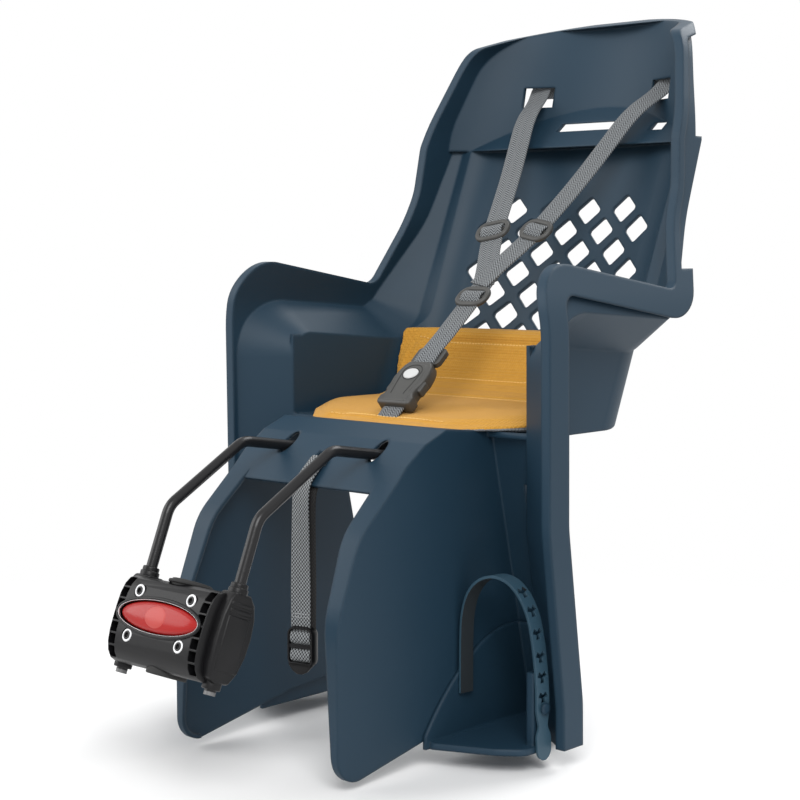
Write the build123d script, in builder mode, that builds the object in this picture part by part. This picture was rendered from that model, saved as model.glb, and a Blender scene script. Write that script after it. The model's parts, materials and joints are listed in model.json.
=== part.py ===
from build123d import *
import math
import os

os.makedirs("parts", exist_ok=True)

# Driving dimensions, millimetres
wall = 4.0
bucket_half = 150.0
arm_half = 197.0
rim_width = 10.0
rim_reach = 8.0
skirt_depth = 28.0
wing_skirt_depth = 10.0
skirt_wall = 3.0
step_taper = 36.0
recline = 23.3
panel_sag = 14.0
panel_half = 108.0
leg_inner = 100.0
leg_bottom = -128.0
bar_half = 57.0
bar_radius = 5.0
bar_gap = 0.3
tube_radius = 15.9
liner_wall = 2.0
tube_tilt = 22.2
block_bottom = -42.0
block_top = 31.0
block_half_width = 52.0
collar_top = 44.0
liner_half = 46.0
bar_end = -48.0
collar_radius = 8.5
block_front_y = -27.0
rib_pitch = 9.8
rib_pocket = 6.0
split_gap = 1.0
bolt_x = 31.0
bolt_z = 19.5
bolt_radius = 3.0
fit_gap = 0.2
button_half_x = 46.0
button_half_z = 13.2
button_gap = 0.4
button_floor_y = -20.6
webbing = 25.0
webbing_thick = 1.6
frame_webbing = 20.0
diamond_x = 17.0
diamond_y = 16.5
diamond_corner = 4.0
diamond_pitch = 48.0
diamond_row = 24.2
window_pitch = 40.5
window_x = 140.0
head_base = 427.0
head_top = 575.0
pad_thick = 11.0
buckle_width = 42.0
buckle_length = 58.0
buckle_y = -10.0
pad_top = 234.0
slot_gap = 0.3
slide_gap = 0.4
foot_in = leg_inner + wall + slide_gap
foot_base = leg_bottom - 2
stud_y = 260.0
stud_z = -90.0
strap_skew = 10.0

sin_t = math.sin(math.radians(tube_tilt))
cos_t = math.cos(math.radians(tube_tilt))
sin_f = math.sin(math.radians(strap_skew))
cos_f = math.cos(math.radians(strap_skew))
sin_r = math.sin(math.radians(recline))
cos_r = math.cos(math.radians(recline))
block_plane = Plane(origin=(0, 0, 0), x_dir=(1, 0, 0), z_dir=(0, sin_t, cos_t))
back_plane = Plane(origin=(0, 520, 322), x_dir=(1, 0, 0), z_dir=(0, -cos_r, sin_r))
harness_plane = Plane(origin=(0, 300, 193), x_dir=(1, 0, 0), z_dir=(0, -0.654, 0.757))
section_plane = Plane(origin=(0, 520, 322), x_dir=(1, 0, 0), z_dir=(0, sin_r, cos_r))

# Side outline of the rim, with a corner radius at each point
rim_outline = [
    (272, -300), (268, -90), (245, 70), (242, 313), (450, 280), (494, 380), (500, 430), (547, 538),
    (645, 567), (900, 567), (900, -300),
]
rim_radii = [0, 100, 120, 42, 14, 60, 25, 22, 0, 0, 0]
# Inner step of the wings, side view at the bucket wall
step_outline = [
    (312, -230), (304, -45), (285, 60), (283, 236), (446, 222), (476, 243), (552, head_base),
    (60, head_base), (60, -230),
]
step_radii = [0, 150, 150, 24, 40, 40, 0, 0, 0]
# Half width of the wings, front view
wing_loop = [
    (arm_half, -230), (arm_half, 258), (166, 348), (157, 450), (124, 560), (-124, 560), (-157, 450),
    (-166, 348), (-arm_half, 258), (-arm_half, -230),
]
wing_radii = [0, 120, 150, 150, 70, 70, 150, 150, 120, 0]
# Arc of the head panel in plan, at its base and at its top: edge, middle, edge
head_low = [(180, 514), (0, 600), (-180, 514)]
head_high = [(156, 526), (0, 640), (-156, 526)]
# Upper face of fascia and pan, side view
pan_line = [(150, 105), (172, 128), (198, 146), (226, 157), (300, 150), (312, 150)]
pan_rear = [(398, 150), (438, 156), (466, 173), (484, 200), (497, 236), (530, 310)]
pan_under = [(312, 146), (298, 146), (226, 153), (201, 143), (176, 126), (154, 103)]
# Inner leg panel, side view
panel_outline = [
    (172, 126), (112, 72), (84, 0), (84, -145), (226, -117), (350, -106), (296, 127), (291, 148),
    (226, 155), (198, 145),
]
panel_radii = [0, 60, 80, 24, 0, 0, 0, 0, 0, 0]
# Rear wall of a leg trough, side view
rear_wall = [(291, 149), (296, 127), (350, -106), (355, leg_bottom)]

# Child's space between the bucket walls
with BuildPart() as space:
    with BuildSketch(section_plane):
        with BuildLine():
            sag_in = ThreePointArc((panel_half, 3), (0, panel_sag), (-panel_half, 3))
            ThreePointArc(sag_in @ 1, (-137, -11), (-bucket_half, -46))
            Polyline((-bucket_half, -46), (-bucket_half, -420), (bucket_half, -420), (bucket_half, -46))
            ThreePointArc((bucket_half, -46), (137, -11), sag_in @ 0)
        make_face()
    extrude(amount=330, both=True)
    with BuildSketch(Plane.YZ):
        with BuildLine():
            Spline(*pan_rear, tangents=((1, 0), (0.42, 0.91)))
            Polyline(pan_rear[-1], (700, 311), (700, head_base), (60, head_base), (60, 105), *pan_line, pan_rear[0])
        make_face()
    extrude(amount=210, both=True, mode=Mode.INTERSECT)

# Wider space between the wings
with BuildPart() as space_wing:
    with BuildSketch(Plane.YZ):
        with BuildLine():
            FilletPolyline(*step_outline, radius=step_radii, close=True)
        make_face()
    extrude(amount=bucket_half, both=True)
    for side in (1, -1):
        with BuildSketch(Plane.YZ.offset(side * bucket_half)):
            with BuildLine():
                FilletPolyline(*step_outline[:-2], (552, 760), (60, 760), (60, -230),
                               radius=step_radii + [0], close=True)
            make_face()
        extrude(amount=side * 50, taper=step_taper)
    with Locations((0, 300, head_base - 500)):
        Box(500, 1000, 1000, mode=Mode.INTERSECT)

with BuildPart() as space_head:
    for z_head, plan in ((head_base, head_low), (head_top, head_high)):
        with BuildSketch(Plane.XY.offset(z_head)):
            with BuildLine():
                ThreePointArc(*plan)
                Polyline(plan[2], (plan[2][0], 60), (plan[0][0], 60), plan[0])
            make_face()
    loft(ruled=True)
    with BuildSketch(Plane.YZ):
        with BuildLine():
            Polyline((60, head_base), (552, head_base), (640, 493), (760, 493), (760, 760), (60, 760), close=True)
        make_face()
    extrude(amount=210, both=True, mode=Mode.INTERSECT)

with BuildPart() as space_upper:
    add(space_wing.part)
    add(space_head.part)
    with BuildSketch(Plane.XZ):
        with BuildLine():
            FilletPolyline(*wing_loop, radius=wing_radii, close=True)
        make_face()
    extrude(amount=800, both=True, mode=Mode.INTERSECT)

# The same two spaces, one wall thickness larger
with BuildPart() as outer:
    with BuildSketch(section_plane):
        with BuildLine():
            sag_out = ThreePointArc((panel_half, 3 + wall), (0, panel_sag + wall), (-panel_half, 3 + wall))
            ThreePointArc(sag_out @ 1, (-140, -8), (-bucket_half - wall, -46))
            Polyline((-bucket_half - wall, -46), (-bucket_half - wall, -420), (bucket_half + wall, -420),
                     (bucket_half + wall, -46))
            ThreePointArc((bucket_half + wall, -46), (140, -8), sag_out @ 0)
        make_face()
    extrude(amount=330, both=True)
    with BuildSketch(Plane.YZ):
        with BuildLine():
            Spline((399, 146), (440, 152), (469, 170), (488, 198), (501, 234), (534, 308),
                   tangents=((1, 0), (0.42, 0.91)))
            Polyline((534, 308), (700, 308), (700, head_base + wall), (291, head_base + wall), (291, 146),
                     (399, 146))
        make_face()
    extrude(amount=210, both=True, mode=Mode.INTERSECT)

with BuildPart() as outer_wing:
    with BuildSketch(Plane.YZ):
        with BuildLine():
            FilletPolyline(*step_outline, radius=step_radii, close=True)
        make_face()
        offset(amount=wall, kind=Kind.INTERSECTION)
    extrude(amount=bucket_half + wall, both=True)
    for side in (1, -1):
        with BuildSketch(Plane.YZ.offset(side * (bucket_half + wall))):
            with BuildLine():
                FilletPolyline(*step_outline[:-2], (552, 760), (60, 760), (60, -230),
                               radius=step_radii + [0], close=True)
            make_face()
            offset(amount=wall, kind=Kind.INTERSECTION)
        extrude(amount=side * 50, taper=step_taper)
    with Locations((0, 300, head_base + wall - 500)):
        Box(500, 1000, 1000, mode=Mode.INTERSECT)

with BuildPart() as outer_head:
    for z_head, plan in ((head_base, head_low), (head_top, head_high)):
        with BuildSketch(Plane.XY.offset(z_head)):
            with BuildLine():
                ThreePointArc(*plan)
                Polyline(plan[2], (plan[2][0], 60), (plan[0][0], 60), plan[0])
            make_face()
            offset(amount=wall, kind=Kind.INTERSECTION)
    loft(ruled=True)
    with BuildSketch(Plane.YZ):
        with BuildLine():
            Polyline((60, 423), (553.3, 423), (642.4, 489.8), (764, 489.8), (764, 760), (60, 760), close=True)
        make_face()
    extrude(amount=210, both=True, mode=Mode.INTERSECT)

with BuildPart() as outer_upper:
    add(outer_wing.part)
    add(outer_head.part)
    with BuildSketch(Plane.XZ):
        with BuildLine():
            FilletPolyline(*wing_loop, radius=wing_radii, close=True)
        make_face()
        offset(amount=wall, kind=Kind.INTERSECTION)
    extrude(amount=800, both=True, mode=Mode.INTERSECT)

# Turned rim, its face and its skirt
with BuildPart() as rim_face:
    with BuildSketch(Plane.XZ):
        with BuildLine():
            FilletPolyline(*wing_loop, radius=wing_radii, close=True)
        make_face()
        offset(amount=rim_width, kind=Kind.INTERSECTION)
        with BuildLine():
            FilletPolyline(*wing_loop, radius=wing_radii, close=True)
        make_face(mode=Mode.SUBTRACT)
    extrude(amount=900, both=True)
    with BuildSketch(Plane.YZ) as rim_band:
        with BuildLine():
            FilletPolyline(*rim_outline, radius=rim_radii, close=True)
        make_face()
    with BuildSketch(Plane.YZ) as rim_inner:
        with BuildLine():
            FilletPolyline(*rim_outline, radius=rim_radii, close=True)
        make_face()
        offset(amount=-wall, kind=Kind.INTERSECTION)
    extrude(rim_band.sketch, amount=260, both=True, mode=Mode.INTERSECT)
    extrude(rim_inner.sketch, amount=260, both=True, mode=Mode.SUBTRACT)

with BuildPart() as skirt:
    with BuildSketch(Plane.XZ):
        with BuildLine():
            FilletPolyline(*wing_loop, radius=wing_radii, close=True)
        make_face()
        offset(amount=rim_width, kind=Kind.INTERSECTION)
    extrude(amount=900, both=True)
    with BuildSketch(Plane.XZ):
        with BuildLine():
            FilletPolyline(*wing_loop, radius=wing_radii, close=True)
        make_face()
        offset(amount=rim_width - skirt_wall, kind=Kind.INTERSECTION)
    extrude(amount=900, both=True, mode=Mode.SUBTRACT)
    with BuildSketch(Plane.YZ) as skirt_band:
        with BuildLine():
            FilletPolyline(*rim_outline, radius=rim_radii, close=True)
        make_face()
    with BuildSketch(Plane.YZ) as skirt_inner:
        with BuildLine():
            FilletPolyline(*rim_outline, radius=rim_radii, close=True)
        make_face()
        offset(amount=-skirt_depth, kind=Kind.INTERSECTION)
    extrude(skirt_band.sketch, amount=260, both=True, mode=Mode.INTERSECT)
    with BuildSketch(Plane.YZ) as wing_skirt:
        with BuildLine():
            FilletPolyline(*rim_outline, radius=rim_radii, close=True)
        make_face()
        offset(amount=-wing_skirt_depth, kind=Kind.INTERSECTION)
        with Locations((600, 800)):
            Rectangle(1200, 1000, mode=Mode.INTERSECT)
    extrude(skirt_inner.sketch, amount=260, both=True, mode=Mode.SUBTRACT)
    extrude(wing_skirt.sketch, amount=260, both=True, mode=Mode.SUBTRACT)

# What lies behind the head panel, where the rim ends
with BuildPart() as head_reach:
    for z_head, plan in ((head_base, head_low), (head_top, head_high)):
        with BuildSketch(Plane.XY.offset(z_head)):
            with BuildLine():
                ThreePointArc(*plan)
                Polyline(plan[2], (plan[2][0], 60), (plan[0][0], 60), plan[0])
            make_face()
            offset(amount=rim_reach, kind=Kind.INTERSECTION)
    loft(ruled=True)

with BuildPart() as head_behind:
    with Locations((0, 600, (470 + head_top) / 2)):
        Box(500, 600, head_top - 470)
    add(head_reach.part, mode=Mode.SUBTRACT)

with BuildPart() as rim:
    add(rim_face.part)
    add(skirt.part)
    add(head_behind.part, mode=Mode.SUBTRACT)

# Lips along the front edges of the inner leg panels
with BuildPart() as lips:
    with BuildSketch(Plane.YZ):
        with BuildLine():
            FilletPolyline(*panel_outline, radius=panel_radii, close=True)
        make_face()
        with BuildLine():
            Polyline((60, 140), (170, 140), (176, 120), (122, 60), (108, 0), (108, -160), (60, -160), close=True)
        make_face(mode=Mode.INTERSECT)
    extrude(amount=leg_inner + wall, both=True)
    with BuildSketch(Plane.YZ):
        with BuildLine():
            FilletPolyline(*panel_outline, radius=panel_radii, close=True)
        make_face()
        offset(amount=-wall, kind=Kind.INTERSECTION)
    extrude(amount=leg_inner + wall, both=True, mode=Mode.SUBTRACT)
    with BuildSketch(Plane.XZ):
        with BuildLine():
            Polyline((78, 160), (84, 60), (98, -148), (-98, -148), (-84, 60), (-78, 160), close=True)
        make_face()
    extrude(amount=400, both=True, mode=Mode.SUBTRACT)

with BuildPart() as shell:
    add(outer.part)
    add(outer_upper.part)
    add(space.part, mode=Mode.SUBTRACT)
    add(space_upper.part, mode=Mode.SUBTRACT)
    with BuildSketch(Plane.YZ):
        with BuildLine():
            FilletPolyline(*rim_outline, radius=rim_radii, close=True)
        make_face()
    extrude(amount=260, both=True, mode=Mode.INTERSECT)
    add(rim.part)
    with Locations((0, 392, (575 + leg_bottom) / 2)):
        Box(500, 500, 575 - leg_bottom, mode=Mode.INTERSECT)
    with Locations((0, 310, 146 - 200)):
        Box(2 * bucket_half, 110, 400, mode=Mode.SUBTRACT)
    with BuildSketch(Plane.YZ):
        with BuildLine():
            Polyline(*pan_line, *pan_under, close=True)
        make_face()
    extrude(amount=leg_inner + wall, both=True)
    add(lips.part)
    for side in (1, -1):
        with BuildSketch(Plane.YZ.offset(side * leg_inner)):
            with BuildLine():
                FilletPolyline(*panel_outline, radius=panel_radii, close=True)
            make_face()
        extrude(amount=side * wall)
        with BuildSketch(Plane.YZ.offset(side * leg_inner)):
            with BuildLine():
                Polyline(*rear_wall, (359, leg_bottom), (354, -105), (300, 128), (295, 149), close=True)
            make_face()
        extrude(amount=side * (bucket_half + wall - leg_inner))
        with BuildSketch(Plane.YZ.offset(side * bucket_half)):
            with BuildLine():
                Polyline((283, 232), (285, 60), (304, -45), (308, leg_bottom), (359, leg_bottom),
                         (354, -105), (300, 128), (295, 232), close=True)
            make_face()
        extrude(amount=side * wall)
        for step in range(3):
            with Locations((side * window_x, 315 + 9.4 * step, 92 - window_pitch * step)):
                Box(12, 40, 20, mode=Mode.SUBTRACT)
        with Locations((side * 80.5, 600, 486)):
            Box(32, 60, 22, mode=Mode.SUBTRACT)
        with Locations((side * 92, 575, 446)):
            Box(16, 60, 8, mode=Mode.SUBTRACT)
        with BuildSketch(Plane.XZ.offset(-120)):
            with Locations((side * bar_half, 137)):
                Ellipse(7, 9)
        extrude(amount=-130, mode=Mode.SUBTRACT)
        for y_screw in (270, 360):
            with Locations((side * 30, y_screw, 144)):
                Cylinder(2.6, 10, mode=Mode.SUBTRACT)
    with Locations((0, 578, 450)):
        Box(80, 60, 9, mode=Mode.SUBTRACT)
    with Locations((0, 173, 128)):
        Box(frame_webbing + 2 * slot_gap, 14, 60, mode=Mode.SUBTRACT)
    with BuildSketch(harness_plane.offset(-2.5)):
        with Locations((0, -60)):
            Rectangle(webbing + 2 * slot_gap, 40)
    extrude(amount=5, mode=Mode.SUBTRACT)
    for row in range(7):
        count = 4 + row % 2
        for column in range(count):
            x_hole = (column - (count - 1) / 2) * diamond_pitch
            with BuildSketch(back_plane.offset(-40)) as back_hole:
                with Locations((x_hole, 46 - diamond_row * row)):
                    Polygon((diamond_x, 0), (0, diamond_y), (-diamond_x, 0), (0, -diamond_y))
                fillet(back_hole.vertices(), diamond_corner)
            extrude(amount=80, mode=Mode.SUBTRACT)
shell.part.label = "shell"
export_step(shell.part, "parts/shell.step")

# Sewn pad on the pan and the lower back
with BuildPart() as pad_back:
    with BuildSketch(section_plane):
        with BuildLine():
            pad_arc = ThreePointArc((panel_half + 4, -pad_thick), (0, panel_sag - pad_thick),
                                    (-panel_half - 4, -pad_thick))
            Polyline(pad_arc @ 1, (-bucket_half, -34), (-bucket_half, 60), (bucket_half, 60),
                     (bucket_half, -34), pad_arc @ 0)
        make_face()
    extrude(amount=330, both=True)
    with Locations((0, 400, pad_top - 250)):
        Box(400, 800, 500, mode=Mode.INTERSECT)

with BuildPart() as seat_pad:
    with BuildSketch(Plane.YZ):
        with BuildLine():
            Polyline((234, 130), (234, 163), (241, 166), (300, 150 + pad_thick), (395, 150 + pad_thick),
                     (425, 168), (445, 181), (462, 203), (474, pad_top), (560, pad_top), (560, 130), close=True)
        make_face()
    extrude(amount=bucket_half - slot_gap, both=True)
    add(pad_back.part)
    add(space.part, mode=Mode.INTERSECT)
    with BuildSketch(Plane.XY.offset(100)):
        with BuildLine():
            FilletPolyline((84, 240), (146, 304), (146, 600), (-146, 600), (-146, 304), (-84, 240),
                           radius=[60, 40, 0, 0, 40, 60], close=True)
        make_face()
    extrude(amount=200, mode=Mode.INTERSECT)
    with BuildSketch(harness_plane.offset(-2.5)):
        with Locations((0, -60)):
            Rectangle(webbing + 2 * slot_gap, 50)
    extrude(amount=5, mode=Mode.SUBTRACT)
    with BuildSketch(harness_plane.offset(-7.4)):
        with Locations((0, buckle_y)):
            RectangleRounded(buckle_width + 1, buckle_length + 1, 10)
    extrude(amount=40, mode=Mode.SUBTRACT)
seat_pad.part.label = "seat_pad"
export_step(seat_pad.part, "parts/seat_pad.step")

# Buckle and harness
with BuildPart() as buckle_housing:
    with BuildSketch(harness_plane.offset(-7)):
        with Locations((0, buckle_y)):
            RectangleRounded(buckle_width, buckle_length, 10)
    extrude(amount=14)
    with BuildSketch(harness_plane.offset(1)):
        Ellipse(9 + button_gap, 7 + button_gap)
    extrude(amount=10, mode=Mode.SUBTRACT)
    with BuildSketch(harness_plane.offset(-1)):
        with Locations((0, -34)):
            Rectangle(webbing + 0.6, 12)
    extrude(amount=2, mode=Mode.SUBTRACT)
buckle_housing.part.label = "buckle_housing"
export_step(buckle_housing.part, "parts/buckle_housing.step")

with BuildPart() as buckle_button:
    with BuildSketch(harness_plane.offset(3.6)):
        Ellipse(9, 7)
    extrude(amount=5)
buckle_button.part.label = "buckle_button"
export_step(buckle_button.part, "parts/buckle_button.step")

with BuildPart() as buckle_tongue:
    with BuildSketch(harness_plane.offset(-2.5)):
        with Locations((0, 30.2)):
            RectangleRounded(36, 22, 5)
        with Locations((0, 34.2)):
            Rectangle(webbing + 1, 4, mode=Mode.SUBTRACT)
    extrude(amount=5)
buckle_tongue.part.label = "buckle_tongue"
export_step(buckle_tongue.part, "parts/buckle_tongue.step")

with BuildPart() as crotch_strap:
    with BuildSketch(harness_plane.offset(-webbing_thick / 2)):
        with Locations((0, -50.5)):
            Rectangle(webbing, 43)
    extrude(amount=webbing_thick)
crotch_strap.part.label = "crotch_strap"
export_step(crotch_strap.part, "parts/crotch_strap.step")

with BuildPart() as centre_strap:
    with BuildSketch(harness_plane.offset(-webbing_thick / 2)):
        with Locations((0, 104.6)):
            Rectangle(webbing, 126.8)
    extrude(amount=webbing_thick)
centre_strap.part.label = "centre_strap"
export_step(centre_strap.part, "parts/centre_strap.step")

with BuildPart() as lower_slider:
    with BuildSketch(harness_plane.offset(-2.5)):
        with Locations((0, 118)):
            RectangleRounded(36, 22, 9)
    extrude(amount=5)
    with BuildSketch(harness_plane.offset(-1)):
        with Locations((0, 118)):
            Rectangle(webbing + 0.6, 30)
    extrude(amount=2, mode=Mode.SUBTRACT)
lower_slider.part.label = "lower_slider"
export_step(lower_slider.part, "parts/lower_slider.step")

# Shoulder webbing on both sides, from the centre strap to the head slots
strap_low = harness_plane.from_local_coords(Vector(13.2, 152, webbing_thick + 0.05))
strap_top = Vector(85.6, 612, 498)
strap_run = (strap_top - strap_low).normalized()
strap_length = (strap_top - strap_low).length
strap_side = (Vector(1, 0, 0) - strap_run * strap_run.X).normalized()
right_plane = Plane(origin=strap_low, x_dir=strap_side, z_dir=strap_side.cross(strap_run))
left_plane = Plane(origin=(-strap_low.X, strap_low.Y, strap_low.Z),
                   x_dir=(strap_side.X, -strap_side.Y, -strap_side.Z),
                   z_dir=(-right_plane.z_dir.X, right_plane.z_dir.Y, right_plane.z_dir.Z))
slider_at = strap_length * 0.21

with BuildPart() as shoulder_strap_left:
    with BuildSketch(right_plane.offset(-webbing_thick / 2)):
        with Locations((0, strap_length / 2)):
            Rectangle(webbing, strap_length)
    extrude(amount=webbing_thick)
shoulder_strap_left.part.label = "shoulder_strap_left"
export_step(shoulder_strap_left.part, "parts/shoulder_strap_left.step")

with BuildPart() as shoulder_strap_right:
    with BuildSketch(left_plane.offset(-webbing_thick / 2)):
        with Locations((0, strap_length / 2)):
            Rectangle(webbing, strap_length)
    extrude(amount=webbing_thick)
shoulder_strap_right.part.label = "shoulder_strap_right"
export_step(shoulder_strap_right.part, "parts/shoulder_strap_right.step")

with BuildPart() as shoulder_slider_left:
    with BuildSketch(right_plane.offset(-2.5)):
        with Locations((0, slider_at)):
            RectangleRounded(36, 22, 9)
    extrude(amount=5)
    with BuildSketch(right_plane.offset(-1)):
        with Locations((0, slider_at)):
            Rectangle(webbing + 0.6, 30)
    extrude(amount=2, mode=Mode.SUBTRACT)
shoulder_slider_left.part.label = "shoulder_slider_left"
export_step(shoulder_slider_left.part, "parts/shoulder_slider_left.step")

with BuildPart() as shoulder_slider_right:
    with BuildSketch(left_plane.offset(-2.5)):
        with Locations((0, slider_at)):
            RectangleRounded(36, 22, 9)
    extrude(amount=5)
    with BuildSketch(left_plane.offset(-1)):
        with Locations((0, slider_at)):
            Rectangle(webbing + 0.6, 30)
    extrude(amount=2, mode=Mode.SUBTRACT)
shoulder_slider_right.part.label = "shoulder_slider_right"
export_step(shoulder_slider_right.part, "parts/shoulder_slider_right.step")

with BuildPart() as back_strap:
    with BuildSketch(Plane.XY.offset(485.5)):
        with BuildLine():
            Polyline((-99, 612.6), (-72, 616.5), (-40, 627), (0, 632.5), (40, 627), (72, 616.5), (99, 612.6))
        trace(line_width=webbing_thick)
    extrude(amount=webbing)
back_strap.part.label = "back_strap"
export_step(back_strap.part, "parts/back_strap.step")

# Safety strap for the bicycle frame
with BuildPart() as frame_strap:
    with BuildSketch(Plane.YZ):
        with BuildLine():
            Polyline((176, 112), (172.5, 131), (148, 109), (144, 96), (144, -62), (148, -62), (148, 20))
        trace(line_width=1.5)
    extrude(amount=frame_webbing / 2, both=True)
frame_strap.part.label = "frame_strap"
export_step(frame_strap.part, "parts/frame_strap.step")

with BuildPart() as ladder_lock:
    with Locations((0, 146, -44)):
        Box(27, 12, 40)
        Box(frame_webbing + 0.8, 6.5, 50, mode=Mode.SUBTRACT)
        Box(frame_webbing + 0.8, 40, 6, mode=Mode.SUBTRACT)
ladder_lock.part.label = "ladder_lock"
export_step(ladder_lock.part, "parts/ladder_lock.step")

# Foot trays and their rubber straps
for side, name in ((1, "left"), (-1, "right")):
    with BuildPart() as footrest:
        with BuildSketch(Plane.XY.offset(foot_base)):
            with BuildLine():
                FilletPolyline((foot_in * side, 196), (166 * side, 222), (187 * side, 238), (187 * side, 274),
                               (146.5 * side, 290), (146.5 * side, 345), (foot_in * side, 345),
                               radius=[6, 22, 14, 4, 6, 0, 0], close=True)
            make_face()
        extrude(amount=6)
        with BuildSketch(Plane.YZ.offset(foot_in * side)):
            with BuildLine():
                Polyline((312, -34), (331, -34), (348, -106), (345, foot_base), (194, foot_base), (194, -118))
                Spline((194, -118), (212, -95), (242, -66), (276, -44), (312, -34))
            make_face()
        extrude(amount=3.6 * side)
        with BuildSketch(Plane.YZ.offset(foot_in * side)):
            with BuildLine():
                Polyline((345, foot_base), (348, -106), (331.3, -34), (327.5, -34), (344, -106),
                         (341, foot_base), close=True)
            make_face()
        extrude(amount=(bucket_half - 3.5 - foot_in) * side)
        with Locations((180.5 * side, stud_y, -94)):
            Box(8, 16, 72)
        with Locations((187.9 * side, stud_y, stud_z)):
            Cylinder(3.6, 7.4, rotation=(0, 90, 0))
        with Locations((192.4 * side, stud_y, stud_z)):
            Cylinder(5.5, 2, rotation=(0, 90, 0))
    footrest.part.label = "footrest_" + name
    export_step(footrest.part, "parts/footrest_" + name + ".step")

    with BuildPart() as foot_strap:
        with BuildSketch(Plane(origin=(149.75 * side, 253, 0), x_dir=(cos_f * side, sin_f, 0),
                               z_dir=(sin_f, -cos_f * side, 0))):
            with BuildLine():
                FilletPolyline((-40.5, -86), (-40.5, 26.3), (40.5, 26.3), (40.5, -122), (37.9, -122), (37.9, 23.7),
                               (-37.9, 23.7), (-37.9, -86), radius=[0, 40.4, 40.4, 0, 0, 37.8, 37.8, 0], close=True)
            make_face()
        extrude(amount=8, both=True)
        with Locations((188 * side, stud_y, stud_z)):
            Cylinder(3.9, 14, rotation=(0, 90, 0), mode=Mode.SUBTRACT)
    foot_strap.part.label = "foot_strap_" + name
    export_step(foot_strap.part, "parts/foot_strap_" + name + ".step")

# Bent carrier bar
bar_low_y = 54.3 * sin_t + 46 * sin_t
bar_low_z = 54.3 * cos_t + 46 * cos_t
bar_end_y = bar_end * sin_t
bar_end_z = bar_end * cos_t
with BuildPart() as carrier_bar:
    with BuildLine() as bar_path:
        FilletPolyline((bar_half, bar_end_y, bar_end_z), (bar_half, bar_low_y, bar_low_z),
                       (bar_half, 127, 143), (bar_half, 192, 133), (bar_half, 400, 133),
                       (-bar_half, 400, 133), (-bar_half, 192, 133), (-bar_half, 127, 143),
                       (-bar_half, bar_low_y, bar_low_z), (-bar_half, bar_end_y, bar_end_z), radius=22)
    with BuildSketch(Plane(origin=(bar_half, bar_end_y, bar_end_z), z_dir=(0, sin_t, cos_t))):
        Circle(bar_radius)
    sweep()
carrier_bar.part.label = "carrier_bar"
export_step(carrier_bar.part, "parts/carrier_bar.step")

with BuildPart() as bar_plugs:
    with BuildSketch(block_plane.offset(bar_end - 3)):
        with Locations((bar_half, 0), (-bar_half, 0)):
            Circle(bar_radius)
    extrude(amount=3)
bar_plugs.part.label = "bar_plugs"
export_step(bar_plugs.part, "parts/bar_plugs.step")

# Plate that holds the bar under the pan
with BuildPart() as bar_bracket:
    with Locations((0, 315, 134.5)):
        Box(144, 116, 23)
    with Locations((bar_half, 315, 133), (-bar_half, 315, 133)):
        Cylinder(bar_radius + 0.02, 120, rotation=(90, 0, 0), mode=Mode.SUBTRACT)
    for y_screw in (270, 360):
        with Locations((30, y_screw, 134), (-30, y_screw, 134)):
            Cylinder(2.6, 40, mode=Mode.SUBTRACT)
bar_bracket.part.label = "bar_bracket"
export_step(bar_bracket.part, "parts/bar_bracket.step")

with BuildPart() as bracket_screws:
    for y_screw in (270, 360):
        with Locations((30, y_screw, 121.5), (-30, y_screw, 121.5)):
            Cylinder(5, 3)
        with Locations((30, y_screw, 135), (-30, y_screw, 135)):
            Cylinder(2.4, 26)
bracket_screws.part.label = "bracket_screws"
export_step(bracket_screws.part, "parts/bracket_screws.step")

# Block on the seat tube
with BuildPart() as block_front:
    with BuildSketch(block_plane.offset(block_bottom)):
        with BuildLine():
            FilletPolyline((-block_half_width, block_front_y), (block_half_width, block_front_y),
                           (block_half_width, -10.5), (46, -10.5), (46, -split_gap), (-46, -split_gap),
                           (-46, -10.5), (-block_half_width, -10.5),
                           radius=[5, 5, 0, 0, 0, 0, 0, 0], close=True)
        make_face()
    extrude(amount=block_top - block_bottom)
    with BuildSketch(block_plane.offset(block_top)):
        Circle(tube_radius + liner_wall + 3.5)
        with Locations((0, 30)):
            Rectangle(60, 60 + 2 * split_gap, mode=Mode.SUBTRACT)
    extrude(amount=collar_top - block_top)
    with BuildSketch(block_plane.offset(-80)):
        Circle(tube_radius + liner_wall)
    extrude(amount=160, mode=Mode.SUBTRACT)
    with BuildSketch(Plane(block_plane.from_local_coords(Vector(0, button_floor_y, 0)), x_dir=(1, 0, 0),
                           z_dir=(0, -cos_t, sin_t))):
        Ellipse(button_half_x + button_gap, button_half_z + button_gap)
        with Locations((bolt_x, bolt_z), (-bolt_x, bolt_z), (bolt_x, -bolt_z), (-bolt_x, -bolt_z)):
            Circle(bolt_radius + fit_gap)
    extrude(amount=20, mode=Mode.SUBTRACT)
    with BuildSketch(Plane(block_plane.from_local_coords(Vector(0, 0, 0)), x_dir=(1, 0, 0),
                           z_dir=(0, -cos_t, sin_t))):
        with Locations((bolt_x, bolt_z), (-bolt_x, bolt_z), (bolt_x, -bolt_z), (-bolt_x, -bolt_z)):
            Circle(bolt_radius + fit_gap)
    extrude(amount=40, mode=Mode.SUBTRACT)
    for row in range(7):
        with BuildSketch(block_plane.offset(block_bottom + 4 + row * rib_pitch)):
            with Locations((block_half_width, -18.5), (-block_half_width, -18.5)):
                Rectangle(10, 11)
        extrude(amount=rib_pocket, mode=Mode.SUBTRACT)
block_front.part.label = "block_front"
export_step(block_front.part, "parts/block_front.step")

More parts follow.
